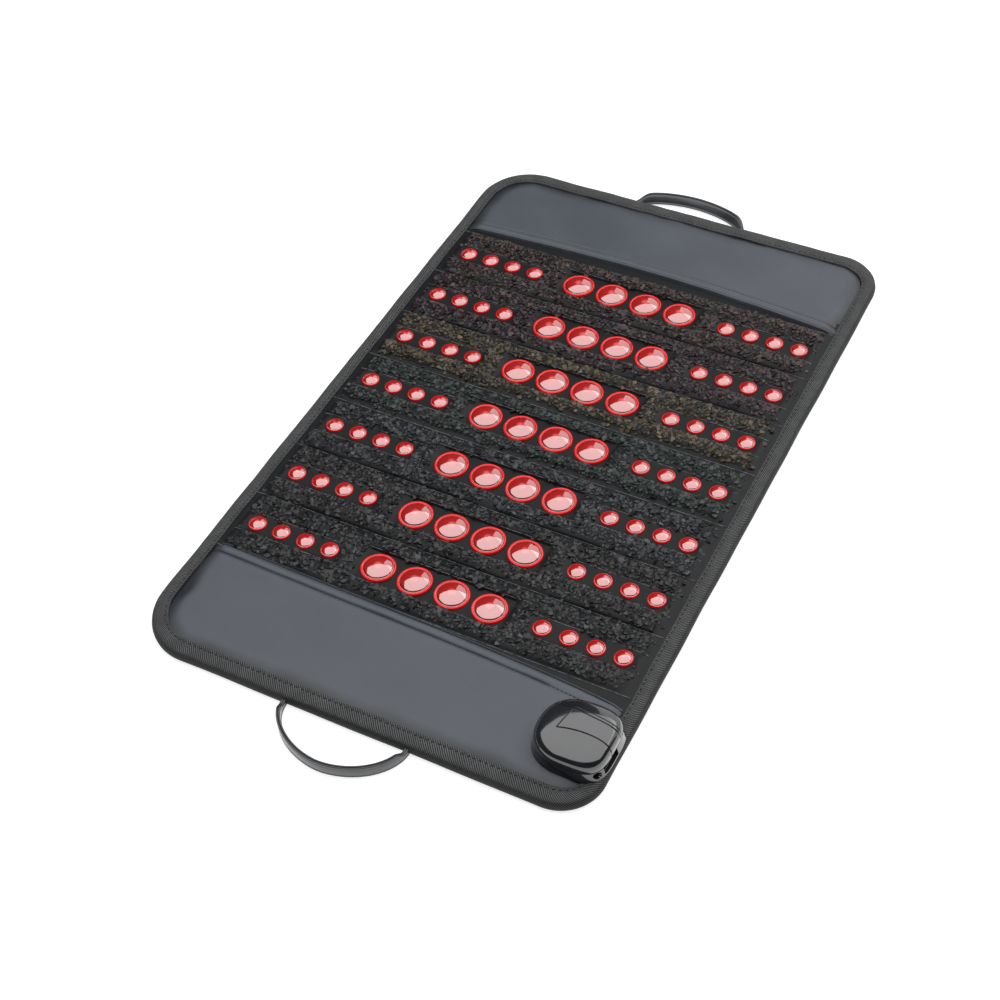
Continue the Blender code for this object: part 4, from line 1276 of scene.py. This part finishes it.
def lid_shell(name, finish):
    """The whole domed lid: up the outer face to the top, and back down the inner face."""
    low = BOX_HIGH.z + LID_GAP
    shares = 1 - (1 - np.linspace(0.04, 1, 30)) ** 2.6
    inside = []
    for share in shares[::-1]:
        if share < 1:
            inside.append(dome_ring(BOX_DRAFT + BOX_WALL, low, share, LID_RISE - BOX_WALL))
    outside = [dome_ring(BOX_DRAFT, low, share, LID_RISE) for share in shares[:-1]]
    rings = [box_ring(BOX_DRAFT + BOX_WALL, low), *inside][::-1]
    rings += [box_ring(BOX_DRAFT + 0.0004, low), box_ring(BOX_DRAFT, low + 0.0004)]
    rings += outside[::-1]
    return closed_rings(name, rings, finish)


def far_seam_y(x):
    return SEAM_FAR_Y - SEAM_FAR_SLOPE * (x + 0.0325)


def far_seam(shift):
    straight = np.linspace(SEAM_LEFT_X - 0.024, 0.020, 18)
    closing = 0.020 + 0.0174 * np.sin(np.linspace(0.1, 1.57, 18))
    return [(x, far_seam_y(x) + shift) for x in (*straight, *closing)]


def near_seam():
    xs = np.linspace(SEAM_LEFT_X, 0.0378, 40)
    middle = (SEAM_LEFT_X + BOX_HALF.x) / 2
    reach = (BOX_HALF.x - SEAM_LEFT_X) / 2
    return [(x, SEAM_NEAR_Y + SEAM_BOW * (1 - ((x - middle) / reach) ** 2)) for x in xs]


def left_seam():
    low, high = near_seam()[0][1], far_seam_y(SEAM_LEFT_X + SEAM_SLANT)
    return [(SEAM_LEFT_X + SEAM_SLANT * share, low + (high - low) * share) for share in np.linspace(0, 1, 14)]


def groove_cutter(name, seam, half_width, depth):
    """A fine V that follows a seam over the lid's face."""
    spots = [lid_point(x, y) for x, y in seam]
    rings = []
    for index, spot in enumerate(spots):
        before, after = spots[max(index - 1, 0)], spots[min(index + 1, len(spots) - 1)]
        heading = (after - before).normalized()
        across = Vector((-heading.y, heading.x, 0)).normalized()
        away = heading.cross(across)
        if away.z < 0:
            away = -away
        high = spot + 0.0006 * away
        wide = half_width * (1 + 0.0006 / depth)
        rings.append([high + wide * across, high - wide * across, spot - depth * away])
    cutter = closed_rings(name, rings, shell_finish)
    return outward(cutter)


def outward(piece):
    """Turns the piece's faces outwards."""
    work = bmesh.new()
    work.from_mesh(piece.data)
    bmesh.ops.recalc_face_normals(work, faces=work.faces)
    work.to_mesh(piece.data)
    work.free()
    return piece


def rectangle(left, right, near, far):
    return [(left, near), (right, near), (right, far), (left, far)]


def prism(name, plan, low, high):
    rings = [[(BOX_CENTRE.x + x, BOX_CENTRE.y + y, z) for x, y in plan] for z in (low, high)]
    return outward(closed_rings(name, rings, shell_finish))


def strip_cutter(name, gap):
    """The upright block that parts the strip from the lid, this much smaller all round."""
    near = [(x, y + gap) for x, y in near_seam()]
    near[0] = (near[0][0] + gap, near[0][1])
    far = far_seam(-gap)
    right = 2 * BOX_HALF.x
    plan = near + [(right, near[-1][1]), (right, far[-1][1])]
    plan += [(x, y) for x, y in far[::-1] if x > SEAM_LEFT_X + SEAM_SLANT + gap]
    corner_x = SEAM_LEFT_X + SEAM_SLANT + gap
    plan.append((corner_x, far_seam_y(corner_x) - gap))
    return prism(name, plan, BOX_HIGH.z - 0.001, LID_TOP + 0.004)


def dark_gloss(name, colour, pale, roughness):
    """Glossy moulded plastic, with faint flow marks and fine handling marks."""
    sockets = {"IOR": 1.5, "Coat_Weight": 1.0, "Coat_Roughness": 0.06, "Coat_IOR": 1.7}
    material, tree, shader = new_finish(name, roughness, **sockets)
    place = own_place(tree)
    flow = noise(tree, place, 26.0, 2.0)
    marks = noise(tree, place, 700.0, 4.0)
    paint(tree, shader, stepped(tree, flow, 0.3, 0.7), colour, pale)
    tree.links.new(stepped(tree, marks, 0.35, 0.7, roughness, roughness + 0.08), shader.inputs["Roughness"])
    relief(tree, shader, flow, 0.05, 0.0006)
    return material


shell_finish = dark_gloss("box_plastic", (0.009, 0.010, 0.012), (0.016, 0.018, 0.022), 0.14)
strip_finish = dark_gloss("strip_plastic", (0.013, 0.014, 0.017), (0.022, 0.024, 0.029), 0.16)

low, high = BOX_LOW.z, BOX_HIGH.z
base_rings = [
    box_ring(0.0006, low),
    box_ring(0.0, low + 0.0006),
    box_ring(0.5 * BOX_DRAFT, (low + high) / 2),
    box_ring(BOX_DRAFT, high - 0.0005),
    box_ring(BOX_DRAFT + 0.0005, high),
    box_ring(BOX_DRAFT + BOX_WALL, high),
    box_ring(2 * BOX_DRAFT, low + BOX_FLOOR),
]
base = outward(closed_rings("connector_tray", base_rings, shell_finish))
socket_low, socket_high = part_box("power_socket")
gap = 0.0003
slot_plan = rectangle(
    socket_low.x - BOX_CENTRE.x,
    2 * BOX_HALF.x,
    socket_low.y - BOX_CENTRE.y - gap,
    socket_high.y - BOX_CENTRE.y + gap,
)
slot = prism("slot_cutter", slot_plan, socket_low.z - gap / 2, socket_high.z + gap)
notch_z = low + BOX_FLOOR + NOTCH_RADIUS + 0.0003
notch_rings = []
for x in (0.45 * BOX_HALF.x, 1.5 * BOX_HALF.x):
    ring = []
    for step in range(32):
        turn = 2 * math.pi * step / 32
        y = BOX_CENTRE.y + NOTCH_Y + NOTCH_RADIUS * math.cos(turn)
        ring.append((BOX_CENTRE.x + x, y, notch_z + NOTCH_RADIUS * math.sin(turn)))
    notch_rings.append(ring)
notch = outward(closed_rings("notch_cutter", notch_rings, shell_finish))
lead_low, lead_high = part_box("power_lead")
lead_plan = rectangle(
    lead_low.x - BOX_CENTRE.x - gap,
    lead_high.x - BOX_CENTRE.x + gap,
    lead_low.y - BOX_CENTRE.y - gap,
    lead_low.y - BOX_CENTRE.y + LEAD_DEPTH + gap,
)
lead_hole = prism("lead_cutter", lead_plan, low - 0.002, low + BOX_FLOOR + 0.001)
cut(base, [slot, notch, lead_hole])
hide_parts("connector_base")

lid = outward(lid_shell("connector_dome", shell_finish))
strip = outward(lid_shell("connector_centre_strip", strip_finish))
for piece in (lid, strip):
    grooves = [
        groove_cutter("far_groove", far_seam(0.0), 0.00075, 0.00075),
        groove_cutter("second_groove", far_seam(SECOND_GROOVE), 0.00060, 0.00060),
        groove_cutter("near_groove", near_seam(), 0.00075, 0.00075),
        groove_cutter("left_groove", left_seam(), 0.00070, 0.00070),
    ]
    cut(piece, grooves)
cut(lid, [strip_cutter("strip_gap", 0.0)])
cut(strip, [strip_cutter("strip_shape", 0.00015)], "INTERSECT")
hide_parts("connector_lid")
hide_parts("connector_strip")
for piece, slot_name in ((base, "connector_shell"), (lid, "connector_shell"), (strip, "connector_strip")):
    piece.data.shade_smooth()
    piece.data.set_sharp_from_angle(angle=math.radians(28))
    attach(piece, "front_section")

brass, tree, shader = new_finish("contact_metal", 0.3, Metallic=1.0)
place = own_place(tree)
scuffs = noise(tree, place, 1800.0, 4.0)
paint(tree, shader, scuffs, (0.75, 0.62, 0.35), (0.90, 0.80, 0.55))
tree.links.new(stepped(tree, scuffs, 0.3, 0.7, 0.22, 0.42), shader.inputs["Roughness"])

dress("power_socket", dark_gloss("socket_plastic", (0.010, 0.010, 0.011), (0.020, 0.020, 0.022), 0.25))
dress("socket_contacts", brass)
dress("connector_board", printed_board("box_board", (0.008, 0.060, 0.030), (0.020, 0.150, 0.070)))
dress("power_lead", moulded("lead_rubber", (0.010, 0.010, 0.011), (0.035, 0.035, 0.038), 0.55))
dress("thermal_cutout", moulded("cutout_case", (0.60, 0.60, 0.56), (0.78, 0.77, 0.72), 0.45))


# ---------------------------------------------------------------------------------------------
# Studio. A pale floor, two large soft lights overhead and beyond the mat, and the camera.

CAMERA_PLACE = (0.6123, -1.1278, 1.3215)
CAMERA_RIGHT = Vector((0.8887, 0.4553, -0.0537))
CAMERA_UP = Vector((-0.3051, 0.6748, 0.6720))
CAMERA_BACK = Vector((0.3422, -0.5809, 0.7386))

floor_finish, tree, shader = new_finish("studio_floor", 0.9)
place = own_place(tree)
cloud = noise(tree, place, 3.0, 2.0)
paint(tree, shader, cloud, (0.50, 0.50, 0.50), (0.54, 0.54, 0.54))
shader.inputs["Emission Color"].default_value = (1, 1, 1, 1)
shader.inputs["Emission Strength"].default_value = 0.75
side = 6.0
corners = [(-side, -side, 0), (side, -side, 0), (side, side, 0), (-side, side, 0)]
floor = make_piece("studio_floor", corners, [(0, 1, 2, 3)], floor_finish, smooth=False)


def soft_light(name, centre, aim, width, depth, radiance):
    """A rectangular soft light of this radiance, facing its aim."""
    lamp = bpy.data.lights.new(name, "AREA")
    lamp.shape = "RECTANGLE"
    lamp.size, lamp.size_y = width, depth
    lamp.energy = radiance * math.pi * width * depth
    light = put(name, lamp)
    facing = (Vector(centre) - Vector(aim)).to_track_quat("Z", "Y")
    light.matrix_world = Matrix.Translation(centre) @ facing.to_matrix().to_4x4()
    return light


view_flat = Vector((-CAMERA_BACK.x, -CAMERA_BACK.y, 0)).normalized()
view_side = Vector((view_flat.y, -view_flat.x, 0))
height = 1.80
middle = 0.20 * view_flat + 0.32 * view_side
overhead = soft_light("overhead", (middle.x, middle.y, height), (middle.x, middle.y, 0), 4.1, 2.8, 1.75)
overhead.matrix_world = Matrix.Translation((middle.x, middle.y, height)) @ Matrix(
    (
        (view_side.x, view_flat.x, 0, 0),
        (view_side.y, view_flat.y, 0, 0),
        (0, 0, 1, 0),
        (0, 0, 0, 1),
    )
)
turn = math.radians(22)
far_way = Vector((math.sin(turn), math.cos(turn), 0))
beyond = soft_light("far_side", (2.5 * far_way.x, 2.5 * far_way.y, 1.50), (0, 0, 1.5), 4.0, 2.6, 1.0)
for light in (overhead, beyond):
    light.visible_camera = False

world = bpy.data.worlds.new("studio")
world.use_nodes = True
tree = world.node_tree
pale = add(tree, "ShaderNodeBackground", {"Color": (1, 1, 1, 1), "Strength": 1.0})
dim = add(tree, "ShaderNodeBackground", {"Color": (1, 1, 1, 1), "Strength": 0.04})
seen = add(tree, "ShaderNodeLightPath").outputs["Is Camera Ray"]
mixed = add(tree, "ShaderNodeMixShader", {0: seen, 1: dim.outputs[0], 2: pale.outputs[0]})
for node in list(tree.nodes):
    if node.type == "OUTPUT_WORLD":
        tree.links.new(mixed.outputs[0], node.inputs[0])
bpy.context.scene.world = world
bpy.context.scene.view_settings.view_transform = "Standard"

lens = bpy.data.cameras.new("camera")
lens.sensor_width = 36
lens.lens = 63.147
camera = put("camera", lens)
turn = Matrix((CAMERA_RIGHT, CAMERA_UP, CAMERA_BACK)).transposed().to_4x4()
camera.matrix_world = Matrix.Translation(CAMERA_PLACE) @ turn
bpy.context.scene.camera = camera
